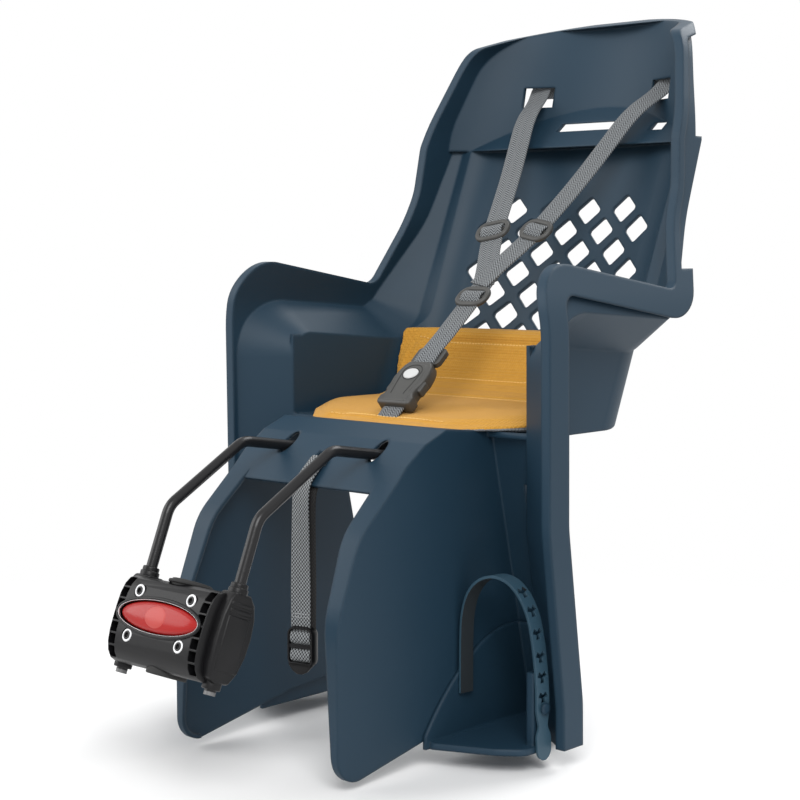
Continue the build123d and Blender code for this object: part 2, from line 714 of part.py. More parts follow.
with BuildPart() as block_rear:
    with BuildSketch(block_plane.offset(block_bottom)):
        with BuildLine():
            FilletPolyline((-66, -10), (-46.5, -10), (-46.5, split_gap), (46.5, split_gap), (46.5, -10),
                           (66, -10), (66, 14), (40, 32), (-40, 32), (-66, 14),
                           radius=[2, 0, 0, 0, 0, 2, 6, 8, 8, 6], close=True)
        make_face()
    extrude(amount=block_top - block_bottom)
    with BuildSketch(block_plane.offset(block_top)):
        Circle(tube_radius + liner_wall + 3.5)
        with Locations((0, -30)):
            Rectangle(60, 60 + 2 * split_gap, mode=Mode.SUBTRACT)
        with Locations((bar_half, 0), (-bar_half, 0)):
            Circle(collar_radius)
    extrude(amount=collar_top - block_top)
    with BuildSketch(block_plane.offset(-80)):
        Circle(tube_radius + liner_wall)
        with Locations((bar_half, 0), (-bar_half, 0)):
            Circle(bar_radius + bar_gap)
    extrude(amount=160, mode=Mode.SUBTRACT)
    with BuildSketch(Plane(block_plane.from_local_coords(Vector(0, 22, 0)), x_dir=(1, 0, 0),
                           z_dir=(0, -cos_t, sin_t))):
        with Locations((bolt_x, bolt_z), (-bolt_x, bolt_z), (bolt_x, -bolt_z), (-bolt_x, -bolt_z)):
            Circle(bolt_radius + 0.02)
    extrude(amount=40, mode=Mode.SUBTRACT)
block_rear.part.label = "block_rear"
export_step(block_rear.part, "parts/block_rear.step")

with BuildPart() as tube_liner:
    with BuildSketch(block_plane.offset(-liner_half)):
        Circle(tube_radius + liner_wall)
        Circle(tube_radius, mode=Mode.SUBTRACT)
        Rectangle(60, 2 * split_gap, mode=Mode.SUBTRACT)
    extrude(amount=2 * liner_half)
tube_liner.part.label = "tube_liner"
export_step(tube_liner.part, "parts/tube_liner.step")

with BuildPart() as release_button:
    with BuildSketch(Plane(block_plane.from_local_coords(Vector(0, -24, 0)), x_dir=(1, 0, 0),
                           z_dir=(0, -cos_t, sin_t))):
        Ellipse(button_half_x, button_half_z)
    extrude(amount=6.5)
release_button.part.label = "release_button"
export_step(release_button.part, "parts/release_button.step")

front_face = Plane(block_plane.from_local_coords(Vector(0, block_front_y, 0)), x_dir=(1, 0, 0),
                   z_dir=(0, -cos_t, sin_t))
with BuildPart() as bolt_washers:
    with BuildSketch(front_face):
        with Locations((bolt_x, bolt_z), (-bolt_x, bolt_z), (bolt_x, -bolt_z), (-bolt_x, -bolt_z)):
            Circle(6.2)
            Circle(bolt_radius + fit_gap, mode=Mode.SUBTRACT)
    extrude(amount=1)
bolt_washers.part.label = "bolt_washers"
export_step(bolt_washers.part, "parts/bolt_washers.step")

with BuildPart() as clamp_bolts:
    with BuildSketch(front_face.offset(1)):
        with Locations((bolt_x, bolt_z), (-bolt_x, bolt_z), (bolt_x, -bolt_z), (-bolt_x, -bolt_z)):
            Circle(4.8)
    extrude(amount=4)
    with BuildSketch(front_face.offset(1)):
        with Locations((bolt_x, bolt_z), (-bolt_x, bolt_z), (bolt_x, -bolt_z), (-bolt_x, -bolt_z)):
            Circle(bolt_radius)
    extrude(amount=-48)
clamp_bolts.part.label = "clamp_bolts"
export_step(clamp_bolts.part, "parts/clamp_bolts.step")
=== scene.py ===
"""Child bicycle seat with harness, footrests and a seat-tube block, dressed in Blender."""

import json
import logging
import math
from dataclasses import dataclass
from enum import Enum
from typing import Dict, List, Sequence, Tuple, Union

import bpy
from mathutils import Matrix, Vector


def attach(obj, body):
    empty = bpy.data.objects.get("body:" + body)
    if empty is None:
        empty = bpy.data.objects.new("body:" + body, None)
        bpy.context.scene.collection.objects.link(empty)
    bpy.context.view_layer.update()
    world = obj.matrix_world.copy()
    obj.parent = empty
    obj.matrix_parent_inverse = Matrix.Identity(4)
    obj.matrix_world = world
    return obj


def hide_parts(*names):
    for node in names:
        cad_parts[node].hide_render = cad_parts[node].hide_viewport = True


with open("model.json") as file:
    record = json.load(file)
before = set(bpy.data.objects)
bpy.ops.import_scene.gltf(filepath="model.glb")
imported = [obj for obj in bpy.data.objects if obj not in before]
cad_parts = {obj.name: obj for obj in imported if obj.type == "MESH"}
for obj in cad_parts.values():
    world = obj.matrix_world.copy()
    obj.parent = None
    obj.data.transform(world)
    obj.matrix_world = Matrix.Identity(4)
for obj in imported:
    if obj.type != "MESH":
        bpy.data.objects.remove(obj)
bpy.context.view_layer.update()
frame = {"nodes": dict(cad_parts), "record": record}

logging.basicConfig(level=logging.INFO, format="%(message)s")
LOG = logging.getLogger("seat")

Triple = Tuple[float, float, float]
Point = Tuple[float, float]
Points = Tuple[Point, ...]
Solid = bpy.types.Object
Tree = bpy.types.NodeTree
Node = bpy.types.Node
Socket = bpy.types.NodeSocket
MM = 0.001


class Grain(Enum):
    """Kinds of surface grain that a finish can carry."""

    MOULDED = "moulded"
    HERRINGBONE = "herringbone"
    BASKET = "basket"
    CANVAS = "canvas"
    METAL = "metal"


WOVEN = (Grain.HERRINGBONE, Grain.BASKET)


@dataclass(frozen=True)
class Finish:
    """One finish: its colours, gloss, grain and the soft radius of its edges."""

    name: str
    colour: Triple
    worn: Triple
    roughness: float
    grain: Grain
    scale: float
    bump: float
    metallic: float = 0.0
    edge: float = 0.0
    specular: float = 0.5


FINISHES: Dict[str, Finish] = {
    "shell": Finish("shell_plastic", (0.0095, 0.0310, 0.0540), (0.0135, 0.0375, 0.0630), 0.50, Grain.MOULDED,
                    1500.0, 0.10, edge=0.0040, specular=0.30),
    "pad": Finish("pad_canvas", (0.505, 0.235, 0.022), (0.625, 0.320, 0.040), 0.92, Grain.CANVAS, 2300.0, 0.45),
    "pad_edge": Finish("pad_binding", (0.170, 0.180, 0.190), (0.270, 0.280, 0.290), 0.9, Grain.CANVAS, 2600.0, 0.5),
    "pad_thread": Finish("pad_thread", (0.720, 0.440, 0.110), (0.860, 0.580, 0.200), 0.7, Grain.CANVAS, 3000.0, 0.3),
    "webbing": Finish("harness_webbing", (0.016, 0.018, 0.020), (0.245, 0.262, 0.275), 0.80, Grain.HERRINGBONE,
                      1.0, 0.8),
    "frame_webbing": Finish("frame_webbing", (0.012, 0.013, 0.015), (0.330, 0.350, 0.362), 0.82, Grain.BASKET,
                            1.0, 0.9),
    "black_webbing": Finish("black_webbing", (0.006, 0.006, 0.006), (0.022, 0.022, 0.023), 0.85, Grain.BASKET,
                            1.0, 0.6),
    "web_thread": Finish("strap_thread", (0.330, 0.345, 0.355), (0.430, 0.440, 0.450), 0.7, Grain.CANVAS, 3000.0, 0.3),
    "dark_plastic": Finish("slider_plastic", (0.040, 0.040, 0.038), (0.060, 0.060, 0.057), 0.48, Grain.MOULDED,
                           1900.0, 0.12, edge=0.0012),
    "button_grey": Finish("button_plastic", (0.560, 0.565, 0.560), (0.640, 0.640, 0.640), 0.38, Grain.MOULDED,
                          1900.0, 0.05, edge=0.0008),
    # Near-black strips in the buckle's grooves and round its button: painted shade.
    "groove_shade": Finish("groove_shadow", (0.014, 0.014, 0.014), (0.022, 0.022, 0.022), 0.8, Grain.MOULDED, 900.0, 0.1),
    "foot_rubber": Finish("foot_strap_rubber", (0.020, 0.056, 0.086), (0.031, 0.074, 0.110), 0.50, Grain.MOULDED,
                          1300.0, 0.12, edge=0.0008),
    # Near-black inner face of each foot strap: painted shade.
    "foot_inner_shade": Finish("foot_strap_inner_shade", (0.004, 0.008, 0.011), (0.007, 0.012, 0.016), 0.70, Grain.MOULDED,
                          1300.0, 0.12),
    "bar_black": Finish("bar_lacquer", (0.005, 0.005, 0.006), (0.011, 0.011, 0.012), 0.28, Grain.METAL,
                        700.0, 0.05, edge=0.0006, specular=0.34),
    "block_black": Finish("block_plastic", (0.0035, 0.0035, 0.004), (0.008, 0.008, 0.009), 0.36, Grain.MOULDED,
                          1500.0, 0.14, edge=0.0010, specular=0.24),
    "liner": Finish("liner_rubber", (0.012, 0.012, 0.012), (0.025, 0.025, 0.025), 0.8, Grain.MOULDED, 900.0, 0.15),
    "red": Finish("button_red", (0.330, 0.009, 0.008), (0.390, 0.014, 0.012), 0.20, Grain.MOULDED,
                  1500.0, 0.03, specular=0.30),
    "red_disc": Finish("button_disc", (0.440, 0.050, 0.044), (0.490, 0.068, 0.058), 0.3, Grain.MOULDED,
                       1500.0, 0.03, specular=0.30),
    "plug": Finish("plug_steel", (0.110, 0.110, 0.112), (0.180, 0.180, 0.182), 0.42, Grain.METAL, 1200.0, 0.05, 0.3),
    "steel": Finish("ring_steel", (0.640, 0.645, 0.655), (0.760, 0.760, 0.770), 0.40, Grain.METAL,
                    1200.0, 0.05, 0.55, edge=0.0004),
}


def link(tree: Tree, source: Socket, target: Socket) -> None:
    """Joins two sockets of a node tree."""
    tree.links.new(source, target)


def set_node(tree: Tree, kind: str, **values: object) -> Node:
    """Adds a node with set inputs.

    Args:
        tree: The node tree.
        kind: Type of the node.
        **values: Value of each input, by its name with _ for a space.

    Returns:
        The new node.
    """
    node = tree.nodes.new(kind)
    for name, value in values.items():
        node.inputs[name.replace("_", " ")].default_value = value
    return node


def math_node(tree: Tree, operation: str, *values: Union[Socket, float]) -> Socket:
    """Adds a math node.

    Args:
        tree: The node tree.
        operation: Name of the math operation.
        *values: Its inputs in order, each a socket that feeds it or a number.

    Returns:
        The result's socket.
    """
    node = tree.nodes.new("ShaderNodeMath")
    node.operation = operation
    for target, value in zip(node.inputs, values):
        if isinstance(value, Socket):
            link(tree, value, target)
        else:
            target.default_value = value
    return node.outputs[0]


def wave_node(tree: Tree, source: Socket, period: float) -> Socket:
    """Adds a sine wave over a length.

    Args:
        tree: The node tree.
        source: Socket of the length, metres.
        period: Length of one wave, metres.

    Returns:
        The result's socket.
    """
    return math_node(tree, "SINE", math_node(tree, "MULTIPLY", source, 2.0 * math.pi / period))


@dataclass
class GrainGroups:
    """Builds the shared shader node groups. Lengths are in metres."""

    twill_fold: float = 0.0042
    twill_period: float = 0.0030
    ply_period: float = 0.0011
    weave_across: float = 0.0032
    weave_along: float = 0.0036

    def build(self, grain: Grain) -> Tree:
        """Builds the node group of one grain.

        Args:
            grain: Which grain is wanted.

        Returns:
            The new shader node group, with outputs Shade and Height.
        """
        tree = bpy.data.node_groups.new("grain_" + grain.value, "ShaderNodeTree")
        for name, way, kind in (("Vector", "INPUT", "Vector"), ("Scale", "INPUT", "Float"),
                                ("Shade", "OUTPUT", "Float"), ("Height", "OUTPUT", "Float")):
            tree.interface.new_socket(name=name, in_out=way, socket_type="NodeSocket" + kind)
        source = tree.nodes.new("NodeGroupInput")
        target = tree.nodes.new("NodeGroupOutput")
        makers = {Grain.MOULDED: self.specks, Grain.METAL: self.specks, Grain.HERRINGBONE: self.herringbone,
                  Grain.BASKET: self.basket, Grain.CANVAS: self.canvas}
        shade, height = makers[grain](tree, source)
        link(tree, shade, target.inputs["Shade"])
        link(tree, height, target.inputs["Height"])
        return tree

    def noise(self, tree: Tree, source: Node, scale: float, detail: float) -> Socket:
        """Adds a noise texture to a group.

        Args:
            tree: The group.
            source: Its input node.
            scale: Scale of the noise, or zero to take the group's own.
            detail: Levels of detail.

        Returns:
            The noise's socket.
        """
        node = set_node(tree, "ShaderNodeTexNoise", Detail=detail)
        link(tree, source.outputs["Vector"], node.inputs["Vector"])
        if scale:
            node.inputs["Scale"].default_value = scale
        else:
            link(tree, source.outputs["Scale"], node.inputs["Scale"])
        return node.outputs["Fac"]

    def split(self, tree: Tree, source: Node) -> List[Socket]:
        """Gives the sockets of a group's X, Y and Z."""
        node = tree.nodes.new("ShaderNodeSeparateXYZ")
        link(tree, source.outputs["Vector"], node.inputs["Vector"])
        return [node.outputs[axis] for axis in "XYZ"]

    def specks(self, tree: Tree, source: Node) -> Tuple[Socket, Socket]:
        """Gives the shade and height of fine spark-eroded grain over slow colour drift."""
        return self.noise(tree, source, 9.0, 3.0), self.noise(tree, source, 0.0, 3.0)

    def herringbone(self, tree: Tree, source: Node) -> Tuple[Socket, Socket]:
        """Gives the shade and height of slanted threads that turn in columns."""
        across, along, _ = self.split(tree, source)
        slant = math_node(tree, "ADD", math_node(tree, "PINGPONG", across, self.twill_fold), along)
        wave = math_node(tree, "MULTIPLY_ADD", wave_node(tree, slant, self.twill_period), 0.55, 0.5)
        ply = math_node(tree, "MULTIPLY", wave_node(tree, across, self.ply_period), 0.08)
        both = math_node(tree, "ADD", wave, ply)
        speck = math_node(tree, "MULTIPLY_ADD", self.noise(tree, source, 900.0, 2.0), 1.2, -0.6)
        return math_node(tree, "ADD", both, speck), both

    def basket(self, tree: Tree, source: Node) -> Tuple[Socket, Socket]:
        """Gives the shade and height of a plain over-and-under weave."""
        across, along, _ = self.split(tree, source)
        over = math_node(tree, "MULTIPLY", wave_node(tree, across, self.weave_across),
                         wave_node(tree, along, self.weave_along))
        weave = math_node(tree, "MULTIPLY_ADD", over, 0.95, 0.44)
        return weave, weave

    def canvas(self, tree: Tree, source: Node) -> Tuple[Socket, Socket]:
        """Gives the shade and height of fine crossed threads."""
        threads = [math_node(tree, "SINE", math_node(tree, "MULTIPLY", axis, source.outputs["Scale"]))
                   for axis in self.split(tree, source)]
        both = math_node(tree, "ADD", math_node(tree, "ADD", threads[0], threads[1]), threads[2])
        return self.noise(tree, source, 320.0, 5.0), both


class Paint:
    """Makes one material for each finish and puts it on pieces."""

    sheen: float = 0.08
    duller: float = 0.06
    glossier: float = 0.05
    relief: float = 0.0004
    edge_samples: int = 6

    def __init__(self) -> None:
        """Starts with no group and no material made."""
        self.makers = GrainGroups()
        self.groups: Dict[Grain, Tree] = {}
        self.made: Dict[str, bpy.types.Material] = {}

    def group(self, grain: Grain) -> Tree:
        """Gives the node group of a grain, built once."""
        if grain not in self.groups:
            self.groups[grain] = self.makers.build(grain)
        return self.groups[grain]

    def material(self, slot: str) -> bpy.types.Material:
        """Gives the material of a finish, built once."""
        if slot not in self.made:
            self.made[slot] = self.build(FINISHES[slot])
        return self.made[slot]

    def build(self, finish: Finish) -> bpy.types.Material:
        """Builds the material of one finish.

        Args:
            finish: The finish to build.

        Returns:
            The new material.
        """
        made = bpy.data.materials.new(finish.name)
        made.use_nodes = True
        tree = made.node_tree
        shader = tree.nodes["Principled BSDF"]
        shader.inputs["Metallic"].default_value = finish.metallic
        shader.inputs["Specular IOR Level"].default_value = finish.specular
        if finish.grain in (*WOVEN, Grain.CANVAS):
            shader.inputs["Sheen Weight"].default_value = self.sheen
        group = tree.nodes.new("ShaderNodeGroup")
        group.node_tree = self.group(finish.grain)
        group.inputs["Scale"].default_value = finish.scale
        if finish.grain in WOVEN:
            chart = tree.nodes.new("ShaderNodeUVMap")
            chart.uv_map = "strap"
            link(tree, chart.outputs["UV"], group.inputs["Vector"])
        else:
            place = tree.nodes.new("ShaderNodeTexCoord")
            link(tree, place.outputs["Object"], group.inputs["Vector"])
        mix = tree.nodes.new("ShaderNodeMix")
        mix.data_type = "RGBA"
        mix.inputs["A"].default_value = (*finish.colour, 1.0)
        mix.inputs["B"].default_value = (*finish.worn, 1.0)
        link(tree, group.outputs["Shade"], mix.inputs["Factor"])
        link(tree, mix.outputs["Result"], shader.inputs["Base Color"])
        gloss = set_node(tree, "ShaderNodeMapRange", To_Min=finish.roughness - self.glossier,
                         To_Max=finish.roughness + self.duller)
        link(tree, group.outputs["Shade"], gloss.inputs["Value"])
        link(tree, gloss.outputs["Result"], shader.inputs["Roughness"])
        bump = set_node(tree, "ShaderNodeBump", Strength=finish.bump, Distance=self.relief)
        link(tree, group.outputs["Height"], bump.inputs["Height"])
        if finish.edge:
            round_off = set_node(tree, "ShaderNodeBevel", Radius=finish.edge)
            round_off.samples = self.edge_samples
            link(tree, round_off.outputs["Normal"], bump.inputs["Normal"])
        link(tree, bump.outputs["Normal"], shader.inputs["Normal"])
        return made

    def coat(self, piece: Solid, slot: str) -> None:
        """Puts a finish on a piece, in place of what it had."""
        piece.data.materials.clear()
        piece.data.materials.append(self.material(slot))


def deselect() -> None:
    """Deselects every object."""
    if bpy.context.object and bpy.context.object.mode != "OBJECT":
        bpy.ops.object.mode_set(mode="OBJECT")
    bpy.ops.object.select_all(action="DESELECT")


def pick(piece: Solid) -> None:
    """Selects one piece alone and makes it active."""
    deselect()
    piece.select_set(True)
    bpy.context.view_layer.objects.active = piece


def edit_all(piece: Solid) -> None:
    """Opens one piece in edit mode, with all of it selected."""
    pick(piece)
    bpy.ops.object.mode_set(mode="EDIT")
    bpy.ops.mesh.select_all(action="SELECT")


def named(name: str) -> Solid:
    """Names the primitive that was just added and gives it."""
    made = bpy.context.object
    made.name = name
    return made


def smooth(piece: Solid, angle: float) -> None:
    """Shades a piece smooth over edges up to an angle, in degrees."""
    pick(piece)
    bpy.ops.object.shade_smooth_by_angle(angle=math.radians(angle))


def finish_with(piece: Solid, kind: str, **settings: object) -> None:
    """Adds a modifier with its settings and applies it.

    Args:
        piece: The mesh object.
        kind: Type of the modifier.
        **settings: Its properties.
    """
    pick(piece)
    made = piece.modifiers.new(kind.lower(), kind)
    for key, value in settings.items():
        setattr(made, key, value)
    bpy.ops.object.modifier_apply(modifier=made.name)


def round_edges(piece: Solid, radius: float, segments: int) -> None:
    """Bevels a piece's sharp edges.

    Args:
        piece: The mesh object.
        radius: Width of the bevel, millimetres.
        segments: Faces across the bevel.
    """
    finish_with(piece, "BEVEL", width=radius * MM, segments=segments, limit_method="ANGLE",
                angle_limit=math.radians(50))
    smooth(piece, 40.0)


def outward(piece: Solid) -> None:
    """Turns a piece's faces outwards."""
    edit_all(piece)
    bpy.ops.mesh.normals_make_consistent(inside=False)
    bpy.ops.object.mode_set(mode="OBJECT")


def cut(piece: Solid, tools: Sequence[Solid], angle: float = 35.0) -> None:
    """Cuts tools out of a piece and shades it.

    Args:
        piece: The mesh object.
        tools: The cutting objects, which are removed after.
        angle: Sharpest smooth edge, degrees.
    """
    for tool in tools:
        finish_with(piece, "BOOLEAN", object=tool, operation="DIFFERENCE", solver="EXACT")
        bpy.data.objects.remove(tool)
    smooth(piece, angle)


def join(pieces: Sequence[Solid], name: str) -> Solid:
    """Joins pieces into one object.

    Args:
        pieces: The objects.
        name: Name of the result.

    Returns:
        The joined object.
    """
    pick(pieces[0])
    for piece in pieces[1:]:
        piece.select_set(True)
    bpy.ops.object.join()
    return named(name)


def mm(x: float, y: float, z: float) -> Vector:
    """Gives a point in metres from millimetres."""
    return Vector((x, y, z)) * MM


@dataclass(frozen=True)
class Place:
    """A local frame: an origin in metres and three directions."""

    origin: Vector
    x: Vector
    y: Vector
    z: Vector

    def matrix(self) -> Matrix:
        """Gives the transform from this frame to the object's."""
        turn = Matrix((self.x.normalized(), self.y.normalized(), self.z.normalized())).transposed()
        return Matrix.Translation(self.origin) @ turn.to_4x4()

    def at(self, x: float, y: float, z: float) -> Vector:
        """Gives a point of this frame, from millimetres."""
        return self.matrix() @ mm(x, y, z)

    def moved(self, x: float, y: float, z: float) -> "Place":
        """Gives this frame with its origin at one of its points, in millimetres."""
        return Place(self.at(x, y, z), self.x, self.y, self.z)


TUBE_TILT = math.radians(22.2)
AXIS_X = Vector((1.0, 0.0, 0.0))
AXIS_Z = Vector((0.0, 0.0, 1.0))
HARNESS = Place(mm(0, 300, 193), AXIS_X, Vector((0, 0.757, 0.654)), Vector((0, -0.654, 0.757)))
BLOCK_FACE = Place(Vector(), AXIS_X, Vector((0, math.sin(TUBE_TILT), math.cos(TUBE_TILT))),
                   Vector((0, -math.cos(TUBE_TILT), math.sin(TUBE_TILT))))


def lengths(path: Sequence[Vector]) -> List[float]:
    """Gives the length of a path up to each of its points."""
    runs = [0.0]
    for start, end in zip(path, path[1:]):
        runs.append(runs[-1] + (end - start).length)
    return runs


def trail(knots: Sequence[Vector], count: int, steps: int = 14) -> List[Vector]:
    """Runs a smooth line through points and samples it evenly.

    Args:
        knots: Points that the line goes through.
        count: Number of samples.
        steps: Points that the line is worked out at between two knots.

    Returns:
        The samples, both ends among them.
    """
    padded = [knots[0] * 2 - knots[1], *knots, knots[-1] * 2 - knots[-2]]
    dense: List[Vector] = []
    for a, b, c, d in zip(padded, padded[1:], padded[2:], padded[3:]):
        for step in range(steps):
            t = step / steps
            dense.append((b * 2 + (c - a) * t + (a * 2 - b * 5 + c * 4 - d) * t * t
                          + (b * 3 - a - c * 3 + d) * t ** 3) * 0.5)
    dense.append(knots[-1].copy())
    runs = lengths(dense)
    samples: List[Vector] = []
    spot = 0
    for index in range(count):
        goal = runs[-1] * index / (count - 1)
        while spot < len(runs) - 2 and runs[spot + 1] < goal:
            spot += 1
        span = max(runs[spot + 1] - runs[spot], 1e-9)
        samples.append(dense[spot].lerp(dense[spot + 1], min(1.0, (goal - runs[spot]) / span)))
    return samples


def ribbon(name: str, path: Sequence[Vector], sides: Sequence[Vector], widths: Sequence[float], thick: float,
           columns: int = 6) -> Solid:
    """Makes a flat band along a path, charted in metres across and along.

    Args:
        name: Name of the band.
        path: Points along its middle.
        sides: Direction across it at each point.
        widths: Width at each point, metres.
        thick: Thickness, metres.
        columns: Number of faces across.

    Returns:
        The band's object.
    """
    last = len(path) - 1
    runs = lengths(path)
    deselect()
    bpy.ops.mesh.primitive_grid_add(x_subdivisions=columns, y_subdivisions=last, size=1.0, calc_uvs=False)
    band = named(name)
    charts: List[Point] = []
    for corner in band.data.vertices:
        place = min(max((corner.co.y + 0.5) * last, 0.0), last - 1e-6)
        row = int(place)
        part = place - row
        width = widths[row] * (1 - part) + widths[row + 1] * part
        side = sides[row].lerp(sides[row + 1], part)
        charts.append((corner.co.x * width, runs[row] * (1 - part) + runs[row + 1] * part))
        corner.co = path[row].lerp(path[row + 1], part) + side * (corner.co.x * width)
    layer = band.data.uv_layers.new(name="strap")
    for loop in band.data.loops:
        layer.data[loop.index].uv = charts[loop.vertex_index]
    finish_with(band, "SOLIDIFY", thickness=thick, offset=0.0, use_even_offset=True)
    outward(band)
    return band


def strip(name: str, path: Sequence[Vector], side: Vector, width: float, thick: float, columns: int = 6) -> Solid:
    """Makes a band of one width that lies one way.

    Args:
        name: Name of the band.
        path: Points along its middle.
        side: Direction across it.
        width: Its width, metres.
        thick: Thickness, metres.
        columns: Number of faces across.

    Returns:
        The band's object.
    """
    return ribbon(name, path, [side] * len(path), [width] * len(path), thick, columns)


def plate(name: str, outline: Sequence[Point], low: float, high: float, edge: float, place: Place) -> Solid:
    """Makes a plate with rounded edges from its outline.

    Args:
        name: Name of the plate.
        outline: Corners in millimetres, in order.
        low: Height of the lower face, millimetres.
        high: Height of the upper face, millimetres.
        edge: Radius of the edges, millimetres.
        place: Frame that the sizes are in.

    Returns:
        The plate's object.
    """
    deselect()
    bpy.ops.mesh.primitive_circle_add(vertices=len(outline), radius=1.0, fill_type="NGON")
    made = named(name)
    for corner, (x, y) in zip(made.data.vertices, outline):
        corner.co = mm(x, y, low)
    edit_all(made)
    bpy.ops.mesh.extrude_region_move(TRANSFORM_OT_translate={"value": (0.0, 0.0, (high - low) * MM)})
    bpy.ops.object.mode_set(mode="OBJECT")
    made.data.transform(place.matrix())
    outward(made)
    round_edges(made, edge, 3)
    return made


def rounded(half_x: float, half_y: float, radius: float, centre: Point = (0.0, 0.0), steps: int = 6) -> List[Point]:
    """Gives the outline of a rectangle with round corners.

    Args:
        half_x: Half its width.
        half_y: Half its height.
        radius: Corner radius.
        centre: Its middle.
        steps: Points in each corner, less one.

    Returns:
        The outline's points.
    """
    points: List[Point] = []
    for corner, (sx, sy) in enumerate(((1, 1), (-1, 1), (-1, -1), (1, -1))):
        for step in range(steps + 1):
            angle = math.pi / 2 * (corner + step / steps)
            points.append((centre[0] + sx * (half_x - radius) + radius * math.cos(angle),
                           centre[1] + sy * (half_y - radius) + radius * math.sin(angle)))
    return points


def ellipse(half_x: float, half_y: float, count: int, centre: Point = (0.0, 0.0)) -> List[Point]:
    """Gives the outline of an ellipse.

    Args:
        half_x: Half its width.
        half_y: Half its height.
        count: Number of points.
        centre: Its middle.

    Returns:
        The outline's points.
    """
    turns = [2.0 * math.pi * step / count for step in range(count)]
    return [(centre[0] + half_x * math.cos(turn), centre[1] + half_y * math.sin(turn)) for turn in turns]


def hoop(name: str, reach: Sequence[Point], thick: float, deep: float, place: Place) -> Solid:
    """Makes a closed round bead along an outline.

    Args:
        name: Name of the bead.
        reach: The outline's points in millimetres.
        thick: Half thickness in the plane, millimetres.
        deep: Half thickness across the plane, millimetres.
        place: Frame that the sizes are in.

    Returns:
        The bead's object.
    """
    count = len(reach)
    tube = 0.25
    deselect()
    bpy.ops.mesh.primitive_torus_add(major_segments=count, minor_segments=10, major_radius=1.0, minor_radius=tube)
    made = named(name)
    for corner in made.data.vertices:
        index = round((math.atan2(corner.co.y, corner.co.x) % (2 * math.pi)) / (2 * math.pi) * count) % count
        ahead = Vector(reach[(index + 1) % count]) - Vector(reach[index - 1])
        out = Vector((ahead.y, -ahead.x)).normalized()
        drift = (Vector((corner.co.x, corner.co.y)).length - 1.0) / tube
        spot = Vector(reach[index]) + out * (drift * thick)
        corner.co = mm(spot.x, spot.y, corner.co.z / tube * deep)
    made.data.transform(place.matrix())
    outward(made)
    smooth(made, 60.0)
    return made


def strew(name: str, length: float, radius: float, spots: Sequence[Matrix]) -> Solid:
    """Makes a run of stitches, each a short rounded thread.

    Args:
        name: Name of the run.
        length: Length of a stitch, metres.
        radius: Radius of its thread, metres.
        spots: Place and turn of each stitch, which lies along its X.

    Returns:
        The run's object.
    """
    deselect()
    bpy.ops.mesh.primitive_uv_sphere_add(segments=8, ring_count=6, radius=1.0)
    made = named(name)
    points = [Vector((corner.co.x * length / 2, corner.co.y * radius, corner.co.z * radius))
              for corner in made.data.vertices]
    faces = [list(face.vertices) for face in made.data.polygons]
    every: List[Vector] = []
    joined: List[List[int]] = []
    for spot in spots:
        first = len(every)
        every.extend(spot @ point for point in points)
        joined.extend([first + index for index in face] for face in faces)
    made.data.clear_geometry()
    made.data.from_pydata(every, [], joined)
    smooth(made, 80.0)
    return made


def lie(at: Vector, along: Vector, up: Vector) -> Matrix:
    """Gives the place of a stitch.

    Args:
        at: Where it is.
        along: Its direction.
        up: The way out of the cloth.

    Returns:
        The transform.
    """
    x = along.normalized()
    y = up.cross(x).normalized()
    z = x.cross(y)
    return Matrix.Translation(at) @ Matrix((x, y, z)).transposed().to_4x4()


